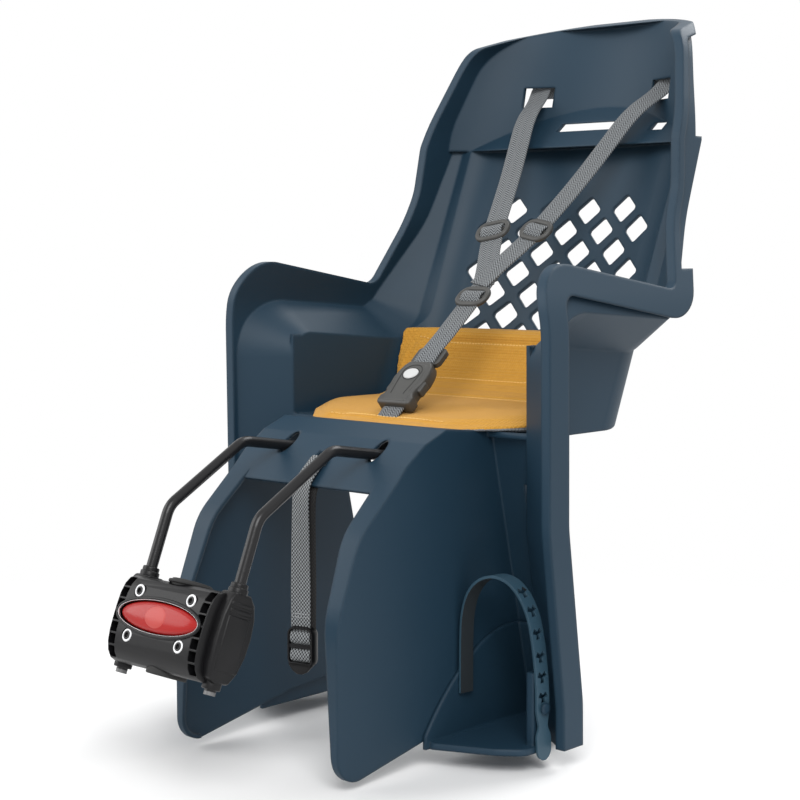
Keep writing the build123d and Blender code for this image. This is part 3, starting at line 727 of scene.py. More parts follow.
@dataclass
class Studio:
    """Floor, lamps and camera. Lengths are in metres and angles in degrees."""

    floor_z: float = -0.1475
    floor_radius: float = 2.2
    floor_middle: float = 0.3
    fade_middle: float = 0.22
    fade_from: float = 0.30
    fade_to: float = 0.95
    surround: float = 0.55
    lamp_aim: Triple = (0.0, 0.3, 0.2)
    camera_at: Triple = (1.1159, -0.9602, 0.3198)
    azimuth: float = 42.0
    elevation: float = 4.99
    focal_pixels: float = 1741.8
    picture_pixels: float = 800.0
    sensor_mm: float = 36.0

    def build(self) -> None:
        """Makes the floor, the lamps, the world and the camera."""
        self.build_floor()
        self.build_world()
        self.build_lamp("key", (1.9, -1.7, 2.3), 80.0, 1.8)
        self.build_lamp("fill", (-2.1, -1.6, 1.5), 40.0, 2.2)
        self.build_lamp("back", (0.3, 2.3, 2.4), 55.0, 1.8)
        self.build_camera()
        bpy.context.scene.view_settings.view_transform = "Standard"
        LOG.info("studio ready")

    def build_floor(self) -> None:
        """Makes the pale floor, which fades into the surround."""
        deselect()
        bpy.ops.mesh.primitive_circle_add(vertices=96, radius=self.floor_radius, fill_type="NGON",
                                          location=(0, self.floor_middle, self.floor_z))
        floor = named("floor")
        bpy.ops.object.transform_apply(location=True, rotation=True, scale=True)
        made = bpy.data.materials.new("floor_pale")
        made.use_nodes = True
        tree = made.node_tree
        shader = tree.nodes["Principled BSDF"]
        shader.inputs["Base Color"].default_value = (0.93, 0.93, 0.93, 1.0)
        shader.inputs["Roughness"].default_value = 0.9
        shader.inputs["Specular IOR Level"].default_value = 0.0
        place = tree.nodes.new("ShaderNodeTexCoord")
        shift = set_node(tree, "ShaderNodeMapping", Location=(0.0, -self.fade_middle, -self.floor_z))
        link(tree, place.outputs["Object"], shift.inputs["Vector"])
        far = tree.nodes.new("ShaderNodeVectorMath")
        far.operation = "LENGTH"
        link(tree, shift.outputs["Vector"], far.inputs[0])
        fade = set_node(tree, "ShaderNodeMapRange", From_Min=self.fade_from, From_Max=self.fade_to)
        fade.interpolation_type = "SMOOTHSTEP"
        link(tree, far.outputs["Value"], fade.inputs["Value"])
        clear = tree.nodes.new("ShaderNodeBsdfTransparent")
        mix = tree.nodes.new("ShaderNodeMixShader")
        link(tree, fade.outputs["Result"], mix.inputs["Fac"])
        link(tree, shader.outputs["BSDF"], mix.inputs[1])
        link(tree, clear.outputs["BSDF"], mix.inputs[2])
        link(tree, mix.outputs["Shader"], tree.nodes["Material Output"].inputs["Surface"])
        floor.data.materials.append(made)

    def build_world(self) -> None:
        """Makes a soft white surround, which the camera sees as plain white."""
        world = bpy.data.worlds.new("surround")
        bpy.context.scene.world = world
        world.use_nodes = True
        tree = world.node_tree
        white = (1.0, 1.0, 1.0, 1.0)
        plain = tree.nodes["Background"]
        plain.inputs["Color"].default_value = white
        plain.inputs["Strength"].default_value = self.surround
        seen = set_node(tree, "ShaderNodeBackground", Color=white, Strength=1.0)
        path = tree.nodes.new("ShaderNodeLightPath")
        direct = math_node(tree, "MAXIMUM", path.outputs["Is Camera Ray"], path.outputs["Is Glossy Ray"])
        either = math_node(tree, "MAXIMUM", direct, path.outputs["Is Transmission Ray"])
        mix = tree.nodes.new("ShaderNodeMixShader")
        link(tree, either, mix.inputs["Fac"])
        link(tree, plain.outputs["Background"], mix.inputs[1])
        link(tree, seen.outputs["Background"], mix.inputs[2])
        link(tree, mix.outputs["Shader"], tree.nodes["World Output"].inputs["Surface"])

    def build_lamp(self, name: str, place: Triple, power: float, size: float) -> None:
        """Makes one soft area lamp aimed at the seat.

        Args:
            name: Name of the lamp.
            place: Where it hangs, metres.
            power: Watts.
            size: Side of the square, metres.
        """
        data = bpy.data.lights.new(name, "AREA")
        data.energy = power
        data.size = size
        lamp = bpy.data.objects.new(name, data)
        bpy.context.scene.collection.objects.link(lamp)
        lamp.location = place
        aim = Vector(self.lamp_aim) - Vector(place)
        lamp.rotation_euler = aim.to_track_quat("-Z", "Y").to_euler()

    def build_camera(self) -> None:
        """Makes the camera at the photograph's angle."""
        data = bpy.data.cameras.new("view")
        data.sensor_fit = "HORIZONTAL"
        data.sensor_width = self.sensor_mm
        data.lens = self.sensor_mm * self.focal_pixels / self.picture_pixels
        camera = bpy.data.objects.new("view", data)
        bpy.context.scene.collection.objects.link(camera)
        camera.location = self.camera_at
        camera.rotation_euler = (math.radians(90.0 - self.elevation), 0.0, math.radians(self.azimuth))
        bpy.context.scene.camera = camera


@dataclass
class PlainNodes:
    """CAD nodes whose solids already have the right shape."""

    paint: Paint

    def dress(self) -> None:
        """Gives each CAD node its finish."""
        for entry in frame["record"]["subparts"]:
            slot = entry["material_slot"]
            if slot == "webbing":
                slot = "dark_plastic"
            if entry["node"] == "bar_plugs":
                slot = "plug"
            self.paint.coat(frame["nodes"][entry["node"]], slot)
            LOG.info("dressed %s as %s", entry["node"], slot)


@dataclass
class Piece:
    """Shared steps of a new piece."""

    paint: Paint

    def put(self, piece: Solid, body: str, finish: str, slot: str, *nodes: str) -> None:
        """Dresses a piece, sets it on its body and hides the CAD nodes that it replaces.

        Args:
            piece: The mesh object.
            body: Body that carries it.
            finish: Key of its finish.
            slot: Slot of the record for the piece; not used.
            *nodes: CAD nodes that it replaces.
        """
        self.paint.coat(piece, finish)
        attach(piece, body)
        if nodes:
            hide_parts(*nodes)
        LOG.info("%s: %d faces on %s", piece.name, len(piece.data.polygons), body)


@dataclass
class Harness(Piece):
    """Webbing, sliders and buckle of the child's harness.

    Widths and thicknesses are in metres, and the tables are in millimetres.
    """

    width: float = 25.0 * MM
    thick: float = 1.5 * MM
    fold_width: float = 24.6 * MM
    fold_thick: float = 1.3 * MM
    crotch: Points = ((-72, 0), (-58, 0), (-44, 0), (-29, 0))
    centre: Points = ((20.5, 3.2), (32, 3.8), (46, 3.0), (60, 1.9), (80, 1.2), (118, 0.2), (168, 0))
    lower_slider: float = 118.0
    shoulder_low: Triple = (13.2, 152, 1.65)
    shoulder_top: Triple = (85.6, 612.0, 498.0)
    shoulder_bow: Tuple[Triple, ...] = (
        (-0.07, 0.1, 10.6), (0.03, 0.1, 7.4), (0.12, 0.2, 3.4), (0.21, 0.4, 0.8), (0.36, 0.8, 0.0), (0.50, 2.4, 0.0),
        (0.645, 6.0, 0.0), (0.745, 8.4, 0.0), (0.82, 7.0, 0.0), (0.88, 3.2, 0.0), (0.93, 0.6, 0.0), (1.0, 0.0, 0.0))
    lap: float = 1.7
    lap_share: float = 0.2
    slider_share: float = 0.21
    slider_lift: float = 1.2
    slider_ring: Triple = (17.2, 11.2, 10.2)
    slider_bead: float = 3.0
    slider_bar: Triple = (16.0, 1.6, 1.2)
    slider_hump: Points = ((-8.4, -0.2), (-6.2, 1.6), (-3.0, 3.1), (0.0, 3.6), (3.0, 3.1), (6.2, 1.6), (8.4, -0.2))
    back_half: Points = ((99, 612.6), (72, 616.5), (40, 627.0), (0, 632.5))
    back_height: float = 498
    buckle_half: Points = (
        (9.0, 18.8), (14.0, 17.8), (17.6, 12.0), (19.8, 4.0), (20.6, -4.0), (19.8, -11.0), (17.8, -16.5),
        (17.2, -23.0), (18.6, -27.0), (20.8, -29.0), (21.0, -35.0), (19.6, -38.8))
    buckle_deep: float = 7.0
    groove_line: Points = ((11.6, 2.0), (10.6, -8.0), (9.2, -18.0), (8.0, -27.0))
    groove_height: float = 7.75
    groove_width: float = 0.9 * MM
    groove_thick: float = 0.3 * MM
    button: Point = (9.0, 7.0)
    button_gap: float = 0.5

    def build(self) -> None:
        """Makes all of the harness."""
        self.build_straight("crotch_strap", self.crotch)
        self.build_straight("centre_strap", self.centre)
        for side, name in ((1, "left"), (-1, "right")):
            self.build_shoulder(side, name)
        self.build_slider("lower_slider", HARNESS, self.lower_slider)
        self.build_back()
        self.build_buckle()

    def build_straight(self, node: str, line: Points) -> None:
        """Makes a strap that lies across the seat's middle.

        Args:
            node: The CAD strap that it replaces.
            line: Places along it and heights over the harness's plane.
        """
        path = trail([HARNESS.at(0, y, z) for y, z in line], 24)
        band = strip(node + "_woven", path, AXIS_X, self.width, self.thick)
        self.put(band, "seat", "webbing", "webbing", node)

    def shoulder_frame(self, side: int) -> Tuple[Place, float]:
        """Gives the frame of a shoulder strap.

        Args:
            side: 1 for the child's left, -1 for the right.

        Returns:
            The frame, with Y along the strap, and the strap's length in millimetres.
        """
        x, y, z = self.shoulder_low
        low = HARNESS.at(x * side, y, z)
        x, y, z = self.shoulder_top
        run = mm(x * side, y, z) - low
        along = run.normalized()
        across = (AXIS_X - along * along.x).normalized()
        return Place(low, across, along, across.cross(along)), run.length / MM

    def build_shoulder(self, side: int, name: str) -> None:
        """Makes one shoulder strap with its slider.

        Args:
            side: 1 for the child's left, -1 for the right.
            name: Name of that side.
        """
        place, length = self.shoulder_frame(side)
        lap = self.lap if side > 0 else 0.0
        path = trail([place.at(-side * inward, length * part, rise + lap * max(0.0, 1.0 - part / self.lap_share))
                      for part, rise, inward in self.shoulder_bow], 72)
        band = strip("shoulder_strap_" + name + "_woven", path, place.x, self.width, self.thick)
        self.put(band, "seat", "webbing", "webbing", "shoulder_strap_" + name)
        self.build_slider("shoulder_slider_" + name, place, length * self.slider_share)

    def build_slider(self, node: str, place: Place, along: float) -> None:
        """Makes an oval slider with the webbing that humps over its bar.

        Args:
            node: The CAD slider that it replaces.
            place: Frame of the strap, with Y along it.
            along: Where the slider sits, millimetres.
        """
        spot = place.moved(0.0, along, self.slider_lift)
        ring = hoop(node + "_ring", rounded(*self.slider_ring, steps=9), self.slider_bead, self.slider_bead, spot)
        bar = plate(node + "_bar", rounded(*self.slider_bar), -1.0, 1.4, 0.5, spot)
        self.put(join([ring, bar], node + "_moulded"), "seat", "dark_plastic", "dark_plastic", node)
        hump = trail([spot.at(0, y, z) for y, z in self.slider_hump], 20)
        fold = strip(node + "_fold", hump, place.x, self.fold_width, self.fold_thick)
        self.put(fold, "seat", "webbing", "webbing")

    def build_back(self) -> None:
        """Makes the strap that joins the shoulder straps behind the head."""
        knots = [mm(-x, y, self.back_height) for x, y in self.back_half]
        knots += [mm(x, y, self.back_height) for x, y in reversed(self.back_half[:-1])]
        band = strip("back_strap_woven", trail(knots, 30), AXIS_Z, self.width, self.thick)
        self.put(band, "seat", "webbing", "webbing", "back_strap")

    def build_buckle(self) -> None:
        """Makes the buckle's housing with its flap, catches and button, with painted shade in its grooves and round
        the button.
        """
        deep = self.buckle_deep
        outline = [*self.buckle_half, *((-x, y) for x, y in reversed(self.buckle_half))]
        inner = [(x * 0.74, (y + 10.0) * 0.86 - 11.0) for x, y in outline]
        pieces = [plate("buckle_body", outline, -deep, deep, 2.4, HARNESS),
                  plate("buckle_flap", inner, deep - 1.0, deep + 0.7, 0.7, HARNESS)]
        for side in (1, -1):
            catch = rounded(2.2, 6.6, 2.0, (side * 19.9, -13.0))
            pieces.append(plate("buckle_catch", catch, -4.4, 4.4, 1.4, HARNESS))
        housing = join(pieces, "buckle_housing_moulded")
        self.put(housing, "seat", "dark_plastic", "dark_plastic", "buckle_housing")
        self.build_groove_shades()
        # A dark ring in the gap round the button, painted shade.
        rim = ellipse(self.button[0] + self.button_gap, self.button[1] + self.button_gap, 40)
        self.put(hoop("buckle_button_gap_shade", rim, 0.5, 0.9, HARNESS.moved(0, 0, 7.4)), "seat", "groove_shade", "dark_plastic")
        cap = plate("buckle_button_cap", ellipse(*self.button, 40), 3.6, 9.0, 1.6, HARNESS)
        self.put(cap, "buckle_button", "button_grey", "button_grey", "buckle_button")

    def build_groove_shades(self) -> None:
        """Makes dark strips down the flap and in an arch over the button, painted shade of the grooves there."""
        lines: List[Solid] = []
        for side in (1, -1):
            path = trail([HARNESS.at(side * x, y, self.groove_height) for x, y in self.groove_line], 16)
            lines.append(strip("buckle_shade_line", path, AXIS_X, self.groove_width, self.groove_thick, 1))
        half_width, foot = self.groove_line[0]
        path = [HARNESS.at(x, y, self.groove_height) for x, y in ellipse(half_width, 10.0, 48, (0.0, foot))[:25]]
        out = [(point - HARNESS.at(0, foot, self.groove_height)).normalized() for point in path]
        lines.append(ribbon("buckle_shade_line", path, out, [self.groove_width] * len(path), self.groove_thick, 1))
        self.put(join(lines, "buckle_groove_shades"), "seat", "groove_shade", "dark_plastic")


@dataclass
class FrameStrap(Piece):
    """Safety strap for the bicycle's frame, with its ladder lock.

    Widths and thicknesses are in metres, and the tables are in millimetres.
    """

    width: float = 20.0 * MM
    thick: float = 1.5 * MM
    fold_thick: float = 1.3 * MM
    twist: float = math.radians(15.0)
    twist_top: float = 0.09
    twist_run: float = 0.08
    face: Place = Place(mm(0, 146, -44), Vector((math.cos(twist), math.sin(twist), 0)), AXIS_Z,
                        Vector((math.sin(twist), -math.cos(twist), 0)))
    front: Points = ((176, 112), (174.6, 122), (171.5, 129), (163, 123), (149, 110), (144.6, 97), (144, 60), (144, 0),
                     (144, -54), (144.6, -60), (146, -62.4))
    rear: Points = ((147.4, -60), (148, -40), (148.4, -10), (149, 20), (149.4, 50), (150, 78), (151.6, 97), (156, 106))
    rear_aside: float = 2.4
    stitch_rows: Point = (31.0, 28.0)
    stitch_height: float = 2.9
    lock_bars: Points = ((1.0, 4.6), (-15.6, 6.0))
    lock_tab: Points = ((-11.6, -13.6), (11.6, -13.6), (10.6, -18.2), (7.4, -22.0), (2.6, -24.6), (-2.6, -24.6),
                        (-7.4, -22.0), (-10.6, -18.2))
    fold_rows: Point = (9.4, -7.4)
    fold_arch: Points = ((-6.6, 1.0), (-3.5, 4.2), (0.0, 5.2), (3.5, 4.2), (6.6, 1.0))

    def build(self) -> None:
        """Makes the strap, its stitches and the lock."""
        self.build_ply("frame_strap_woven", self.front, 110, 0.0, "frame_webbing", "frame_strap")
        self.build_ply("frame_strap_backing", self.rear, 60, self.rear_aside, "black_webbing")
        spots = [lie(self.face.at(x, y, self.stitch_height), self.face.x, self.face.z) for y in self.stitch_rows
                 for x in (-8.0, -5.4, -2.7, 0.0, 2.7, 5.4, 8.0)]
        threads = strew("frame_strap_stitches", 2.3 * MM, 0.45 * MM, spots)
        self.put(threads, "seat", "web_thread", "webbing")
        self.build_lock()

    def build_ply(self, name: str, line: Points, count: int, aside: float, finish: str, *nodes: str) -> None:
        """Makes one ply of the strap, turned as it hangs.

        Args:
            name: Name of the ply.
            line: Depths and heights along it, millimetres.
            count: Number of points along it.
            aside: How far it lies to the child's left, millimetres.
            finish: Key of its finish.
            *nodes: CAD nodes that it replaces.
        """
        path = trail([mm(aside, y, z) for y, z in line], count)
        turns = [min(1.0, max(0.0, (self.twist_top - at.z) / self.twist_run)) for at in path]
        sides = [AXIS_X.lerp(self.face.x, turn).normalized() for turn in turns]
        band = ribbon(name, path, sides, [self.width] * count, self.thick)
        self.put(band, "seat", finish, "webbing", *nodes)

    def build_lock(self) -> None:
        """Makes the ladder lock's frame, bars and thumb tab, and the webbing's folds in it."""
        face = self.face
        pieces = [hoop("lock_frame", rounded(12.3, 17.4, 6.4, (0.0, 0.6), 8), 1.9, 5.8, face)]
        for height, deep in self.lock_bars:
            pieces.append(plate("lock_bar", rounded(12.0, 2.0, 1.4, (0.0, height)), 0.6, deep, 1.0, face))
        pieces.append(plate("lock_tab", self.lock_tab, 1.5, 6.0, 1.0, face))
        lock = join(pieces, "ladder_lock_moulded")
        self.put(lock, "seat", "block_black", "block_black", "ladder_lock")
        for height in self.fold_rows:
            arch = trail([face.at(0, height + y, z) for y, z in self.fold_arch], 20)
            fold = strip("lock_fold", arch, face.x, self.width, self.fold_thick)
            self.put(fold, "seat", "frame_webbing", "webbing")


@dataclass
class FootStrap(Piece):
    """Rubber strap over one foot. Sizes are in millimetres."""

    middle: Point = (149.75, 253.0)
    skew: float = math.radians(10.0)
    turned: float = 0.12
    count: int = 120
    thick: float = 2.6
    line: Points = (
        (-39.2, -86.0), (-39.2, -60.0), (-39.0, -34.0), (-37.6, -12.0), (-32.0, 7.0), (-21.0, 20.0), (-6.0, 25.0),
        (9.0, 21.0), (21.0, 9.0), (29.5, -8.0), (34.5, -30.0), (37.6, -55.0), (39.2, -78.0), (39.4, -96.0),
        (40.2, -112.0), (40.8, -125.0), (41.0, -137.0))
    arch_height: float = -14.0
    inner_shade_turn: float = 0.4
    band_width: float = 15.6
    neck_width: float = 10.2
    paddle_width: float = 17.6
    neck_from: float = 44.0
    neck_at: float = 30.0
    paddle_from: float = 22.0
    paddle_round: float = 11.0
    hole_shares: Tuple[float, ...] = (0.50, 0.565, 0.63, 0.695, 0.755, 0.815)
    prong: Points = ((-26, 6.0), (26, 6.0), (60, 1.9))

    def build(self, side: int, name: str) -> None:
        """Makes the strap with its row of holes.

        Args:
            side: 1 for the child's left, -1 for the right.
            name: Name of that side.
        """
        place = Place(mm(side * self.middle[0], self.middle[1], 0.0),
                      Vector((side * math.cos(self.skew), math.sin(self.skew), 0)), AXIS_Z,
                      Vector((-side * math.sin(self.skew), math.cos(self.skew), 0)))
        path = trail([place.at(x, z, 0.0) for x, z in self.line], self.count)
        total = lengths(path)[-1] / MM
        widths = [self.width_at(total * (1.0 - index / (self.count - 1))) * MM for index in range(self.count)]
        across = Vector((side * self.turned, 1.0, 0.0)).normalized()
        band = ribbon("foot_strap_" + name + "_rubber", path, [across] * self.count, widths, self.thick * MM, 4)
        holes: List[Solid] = []
        for share in self.hole_shares:
            index = int(share * self.count)
            ahead = (path[index + 1] - path[index - 1]).normalized()
            out = (across.cross(ahead) * side).normalized()
            holes.append(self.cutter(path[index], out, ahead.cross(out).normalized()))
        cut(band, [join(holes, "hole_cutters")], 30.0)
        self.put(band, "foot_" + name, "foot_rubber", "foot_rubber", "foot_strap_" + name)
        # The strap's inner face is painted dark, as shade.
        self.shade_inside(band, place.at(0.0, self.arch_height, 0.0))

    def width_at(self, left: float) -> float:
        """Gives the strap's width at a point.

        Args:
            left: Length from there to the loose end.

        Returns:
            The width.
        """
        if left > self.neck_from:
            return self.band_width
        if left > self.neck_at:
            share = (left - self.neck_at) / (self.neck_from - self.neck_at)
            return self.neck_width + (self.band_width - self.neck_width) * share
        if left > self.paddle_from:
            share = (self.neck_at - left) / (self.neck_at - self.paddle_from)
            return self.neck_width + (self.paddle_width - self.neck_width) * share
        bow = (max(0.0, self.paddle_round - left) / (self.paddle_round + 0.2)) ** 2
        return max(4.0, self.paddle_width * math.sqrt(max(0.0, 1.0 - bow)))

    def shade_inside(self, band: Solid, middle: Vector) -> None:
        """Paints the strap's inner face dark, as painted shade.

        Args:
            band: The strap's object.
            middle: Centre of the arch, over the straight legs.
        """
        band.data.materials.append(self.paint.material("foot_inner_shade"))
        # Faces turned in towards the arch's middle take the painted shade.
        for face in band.data.polygons:
            centre = Vector((middle.x, middle.y, min(middle.z, face.center.z)))
            inward = (centre - face.center).normalized()
            face.material_index = 1 if face.normal.dot(inward) > self.inner_shade_turn else 0

    def cutter(self, spot: Vector, out: Vector, across: Vector) -> Solid:
        """Makes the tool of one three-pronged hole.

        Args:
            spot: The hole's middle.
            out: The way out of the strap.
            across: The way across the strap.

        Returns:
            The tool's object.
        """
        outline: List[Point] = []
        for arm in range(3):
            for offset, radius in self.prong:
                angle = math.radians(90 + arm * 120 + offset)
                outline.append((radius * math.cos(angle), radius * math.sin(angle)))
        return plate("hole", outline, -4.0, 4.0, 0.05, Place(spot, across, out.cross(across), out))


@dataclass
class Block(Piece):
    """Moulded halves of the block on the seat tube, with its button and bolts. Sizes are in millimetres."""

    half_width: float = 57.0
    front: float = 27.0
    button_base: float = 24.0
    oval: Point = (50.0, 13.4)
    oval_gap: float = 0.5
    disc: Point = (12.6, 9.4)
    disc_lift: float = 0.35
    bolt: Point = (33.0, 19.5)
    bar: float = 57.0
    bore: float = 15.9
    liner_bore: float = 17.9
    tool_edge: float = 0.02
    tool_top: float = 40.0
    side_face: Place = Place(Vector(), BLOCK_FACE.z, BLOCK_FACE.y, -BLOCK_FACE.x)
    foot_face: Place = Place(Vector(), BLOCK_FACE.x, -BLOCK_FACE.z, BLOCK_FACE.y)
    barrel: Points = (
        (1.0, 33.0), (15.0, 33.0), (20.5, 30.0), (24.2, 24.0), (26.4, 15.0), (27.0, 4.0), (27.0, -8.0), (26.6, -18.0),
        (25.2, -27.0), (22.0, -35.0), (17.0, -40.5), (11.0, -42.5), (1.0, -42.5))
    back: Points = (
        (0.0, 33.0), (-14.0, 33.0), (-24.0, 28.0), (-30.0, 16.0), (-32.0, -3.0), (-30.0, -20.0), (-25.0, -33.0),
        (-15.0, -42.0), (0.0, -42.5))
    housing: Points = (
        (9.0, 36.0), (-9.0, 36.0), (-16.0, 29.0), (-20.5, 17.0), (-22.0, 2.0), (-21.0, -14.0), (-17.0, -29.0),
        (-10.0, -40.0), (6.0, -41.0), (13.0, -37.0), (16.0, -26.0), (17.0, -6.0), (16.0, 15.0), (13.0, 29.0))
    ribs: Points = ((-30.0, 16.0), (18.6, 22.0), (24.4, 27.6))
    rib_depth: Point = (11.0, -14.0)
    collars: Tuple[Triple, ...] = ((8.5, 33.0, 40.0), (7.4, 39.0, 44.0), (8.0, -46.4, -38.0))
    pocket_rows: int = 7
    pocket_first: float = -35.0
    pocket_pitch: float = 10.2
    pocket_x: float = 51.6

    def build(self) -> None:
        """Makes the halves, the red button, its bezel, the liner and the bolts."""
        self.build_front()
        self.build_rear()
        self.build_liner()
        self.build_cap()
        self.build_bezel()
        self.build_bolts()

    def bolt_spots(self) -> List[Point]:
        """Gives the middles of the four bolts."""
        x, y = self.bolt
        return [(x, y), (x, -y), (-x, y), (-x, -y)]

    def round_at(self, name: str, radius: float, low: float, high: float, place: Place, x: float = 0.0, y: float = 0.0,
                 edge: float = 0.6) -> Solid:
        """Makes a short round boss.

        Args:
            name: Name of the boss.
            radius: Its radius.
            low: Height of its lower face.
            high: Height of its upper face.
            place: Frame that the sizes are in.
            x: Its middle, first way.
            y: Its middle, second way.
            edge: Radius of its edges.

        Returns:
            The boss's object.
        """
        return plate(name, ellipse(radius, radius, 40, (x, y)), low, high, edge, place)

    def bore_tool(self, radius: float) -> Solid:
        """Makes the tool of the bore along the seat tube."""
        return self.round_at("bore_tool", radius, -70.0, 70.0, self.foot_face, edge=self.tool_edge)

    def build_front(self) -> None:
        """Makes the convex front half with its pockets and recesses."""
        half = plate("block_front_moulded", self.barrel, -self.half_width, self.half_width, 1.4, self.side_face)
        recess = ellipse(self.oval[0] + self.oval_gap, self.oval[1] + self.oval_gap, 64)
        tools = [plate("oval_tool", recess, 20.0, self.tool_top, 0.05, BLOCK_FACE), self.bore_tool(self.liner_bore)]
        for x, y in self.bolt_spots():
            tools.append(self.round_at("bolt_tool", 6.1, 23.4, self.tool_top, BLOCK_FACE, x, y, self.tool_edge))
        for side in (1, -1):
            for row in range(self.pocket_rows):
                y = self.pocket_first + row * self.pocket_pitch
                low = 15.0 - 0.0075 * (y + 4.0) ** 2
                pocket = rounded(4.4, 4.3, 0.7, (side * self.pocket_x, y), 2)
                tools.append(plate("pocket_tool", pocket, low, self.tool_top, self.tool_edge, BLOCK_FACE))
        cut(half, tools)
        self.put(half, "block", "block_black", "block_black", "block_front")

    def build_rear(self) -> None:
        """Makes the rear half with the housings and collars of the bar."""
        middle = plate("block_rear_moulded", self.back, -50.0, 50.0, 2.0, self.side_face)
        cut(middle, [self.bore_tool(self.liner_bore)])
        pieces = [middle]
        near, far = self.rib_depth
        for side in (1, -1):
            low, high = sorted((-side * 47.0, -side * 66.0))
            pieces.append(plate("housing", self.housing, low, high, 2.6, self.side_face))
            low, high = sorted((-side * 65.0, -side * 66.8))
            for foot, head in self.ribs:
                rib = [(near, foot), (near, head), (far, head), (far, foot)]
                pieces.append(plate("housing_rib", rib, low, high, 0.7, self.side_face))
            for radius, low, high in self.collars:
                pieces.append(self.round_at("collar", radius, low, high, self.foot_face, side * self.bar, 0.0, 1.0))
        self.put(join(pieces, "block_rear_moulded"), "block", "block_black", "block_black", "block_rear")

    def build_liner(self) -> None:
        """Makes the rubber liner of the bore."""
        liner = self.round_at("tube_liner_rubber", 17.8, -45.5, 37.5, self.foot_face, edge=1.2)
        lip = self.round_at("liner_lip", 20.4, 33.4, 36.0, self.foot_face, edge=0.8)
        for piece in (liner, lip):
            cut(piece, [self.bore_tool(self.bore)])
        self.put(join([liner, lip], "tube_liner_rubber"), "block", "liner", "liner", "tube_liner")

    def crown(self, x: float, y: float) -> float:
        """Gives the button's height over its base at a point.

        Args:
            x: Across, as a share of the half width.
            y: Upwards, as a share of the half height.

        Returns:
            The height.
        """
        r = min(1.0, math.hypot(x, y))
        return 3.6 * (1 - r ** 12) + 2.9 * (1 - r * r)

    def dome(self, name: str, half: Point, lift: float) -> Solid:
        """Makes the crowned cap, or a disc that lies on the cap.

        Args:
            name: Name of the piece.
            half: Half its width and half its height.
            lift: How far it stands over the cap at its middle.

        Returns:
            The piece's object.
        """
        deselect()
        bpy.ops.mesh.primitive_uv_sphere_add(segments=64, ring_count=32, radius=1.0)
        made = named(name)
        for corner in made.data.vertices:
            x, y = corner.co.x * half[0], corner.co.y * half[1]
            rise = -0.2
            if corner.co.z >= -1e-6:
                sink = lift * math.hypot(corner.co.x, corner.co.y) ** 8
                rise = self.crown(x / self.oval[0], y / self.oval[1]) + lift - sink
            corner.co = mm(x, y, self.button_base + rise)
        made.data.transform(BLOCK_FACE.matrix())
        outward(made)
        smooth(made, 50.0)
        return made

    def build_cap(self) -> None:
        """Makes the red release button and the plain disc on it."""
        cap = self.dome("release_button_cap", self.oval, 0.0)
        self.put(cap, "release_button", "red", "red", "release_button")
        disc = self.dome("release_button_disc", self.disc, self.disc_lift)
        self.put(disc, "release_button", "red_disc", "red")

    def build_bezel(self) -> None:
        """Makes the black and bright rims round the button."""
        for name, grow, thick, deep, finish in (("bezel_black", 2.3, 1.7, 1.5, "block_black"),
                                                ("bezel_bright", 0.8, 0.3, 1.15, "steel")):
            rim = ellipse(self.oval[0] + grow, self.oval[1] + grow, 96)
            self.put(hoop(name, rim, thick, deep, BLOCK_FACE.moved(0, 0, self.front)), "block", finish, finish)

    def build_bolts(self) -> None:
        """Makes the four socket bolts on their bright washers."""
        bolts = [self.socket_bolt(x, y) for x, y in self.bolt_spots()]
        washers = [hoop("washer", ellipse(4.6, 4.6, 40), 1.15, 0.7, BLOCK_FACE.moved(x, y, self.front - 1.2))
                   for x, y in self.bolt_spots()]
        self.put(join(bolts, "clamp_bolts_turned"), "block", "bar_black", "bar_black", "clamp_bolts")
        self.put(join(washers, "bolt_washers_bright"), "block", "steel", "steel", "bolt_washers")

    def socket_bolt(self, x: float, y: float) -> Solid:
        """Makes one bolt with a socket in its head.

        Args:
            x: Across the block.
            y: Up the block.

        Returns:
            The bolt's object.
        """
        deselect()
        bpy.ops.mesh.primitive_cylinder_add(vertices=24, radius=3.7 * MM, depth=3.0 * MM)
        bolt = bpy.context.object
        bpy.ops.object.mode_set(mode="EDIT")
        bpy.ops.mesh.select_mode(type="FACE")
        for up, shrink, push in ((1.0, 1.5, -2.2), (-1.0, 1.0, -44.0)):
            bpy.ops.mesh.select_all(action="DESELECT")
            bpy.ops.object.mode_set(mode="OBJECT")
            for face in bolt.data.polygons:
                face.select = face.normal.z * up > 0.9 and len(face.vertices) > 8
            bpy.ops.object.mode_set(mode="EDIT")
            bpy.ops.mesh.inset(thickness=shrink * MM, depth=0.0)
            bpy.ops.mesh.extrude_region_move(TRANSFORM_OT_translate={"value": (0.0, 0.0, push * MM)})
        bpy.ops.object.mode_set(mode="OBJECT")
        bolt.data.transform(BLOCK_FACE.moved(x, y, self.front - 1.8).matrix())
        outward(bolt)
        round_edges(bolt, 0.3, 2)
        return bolt


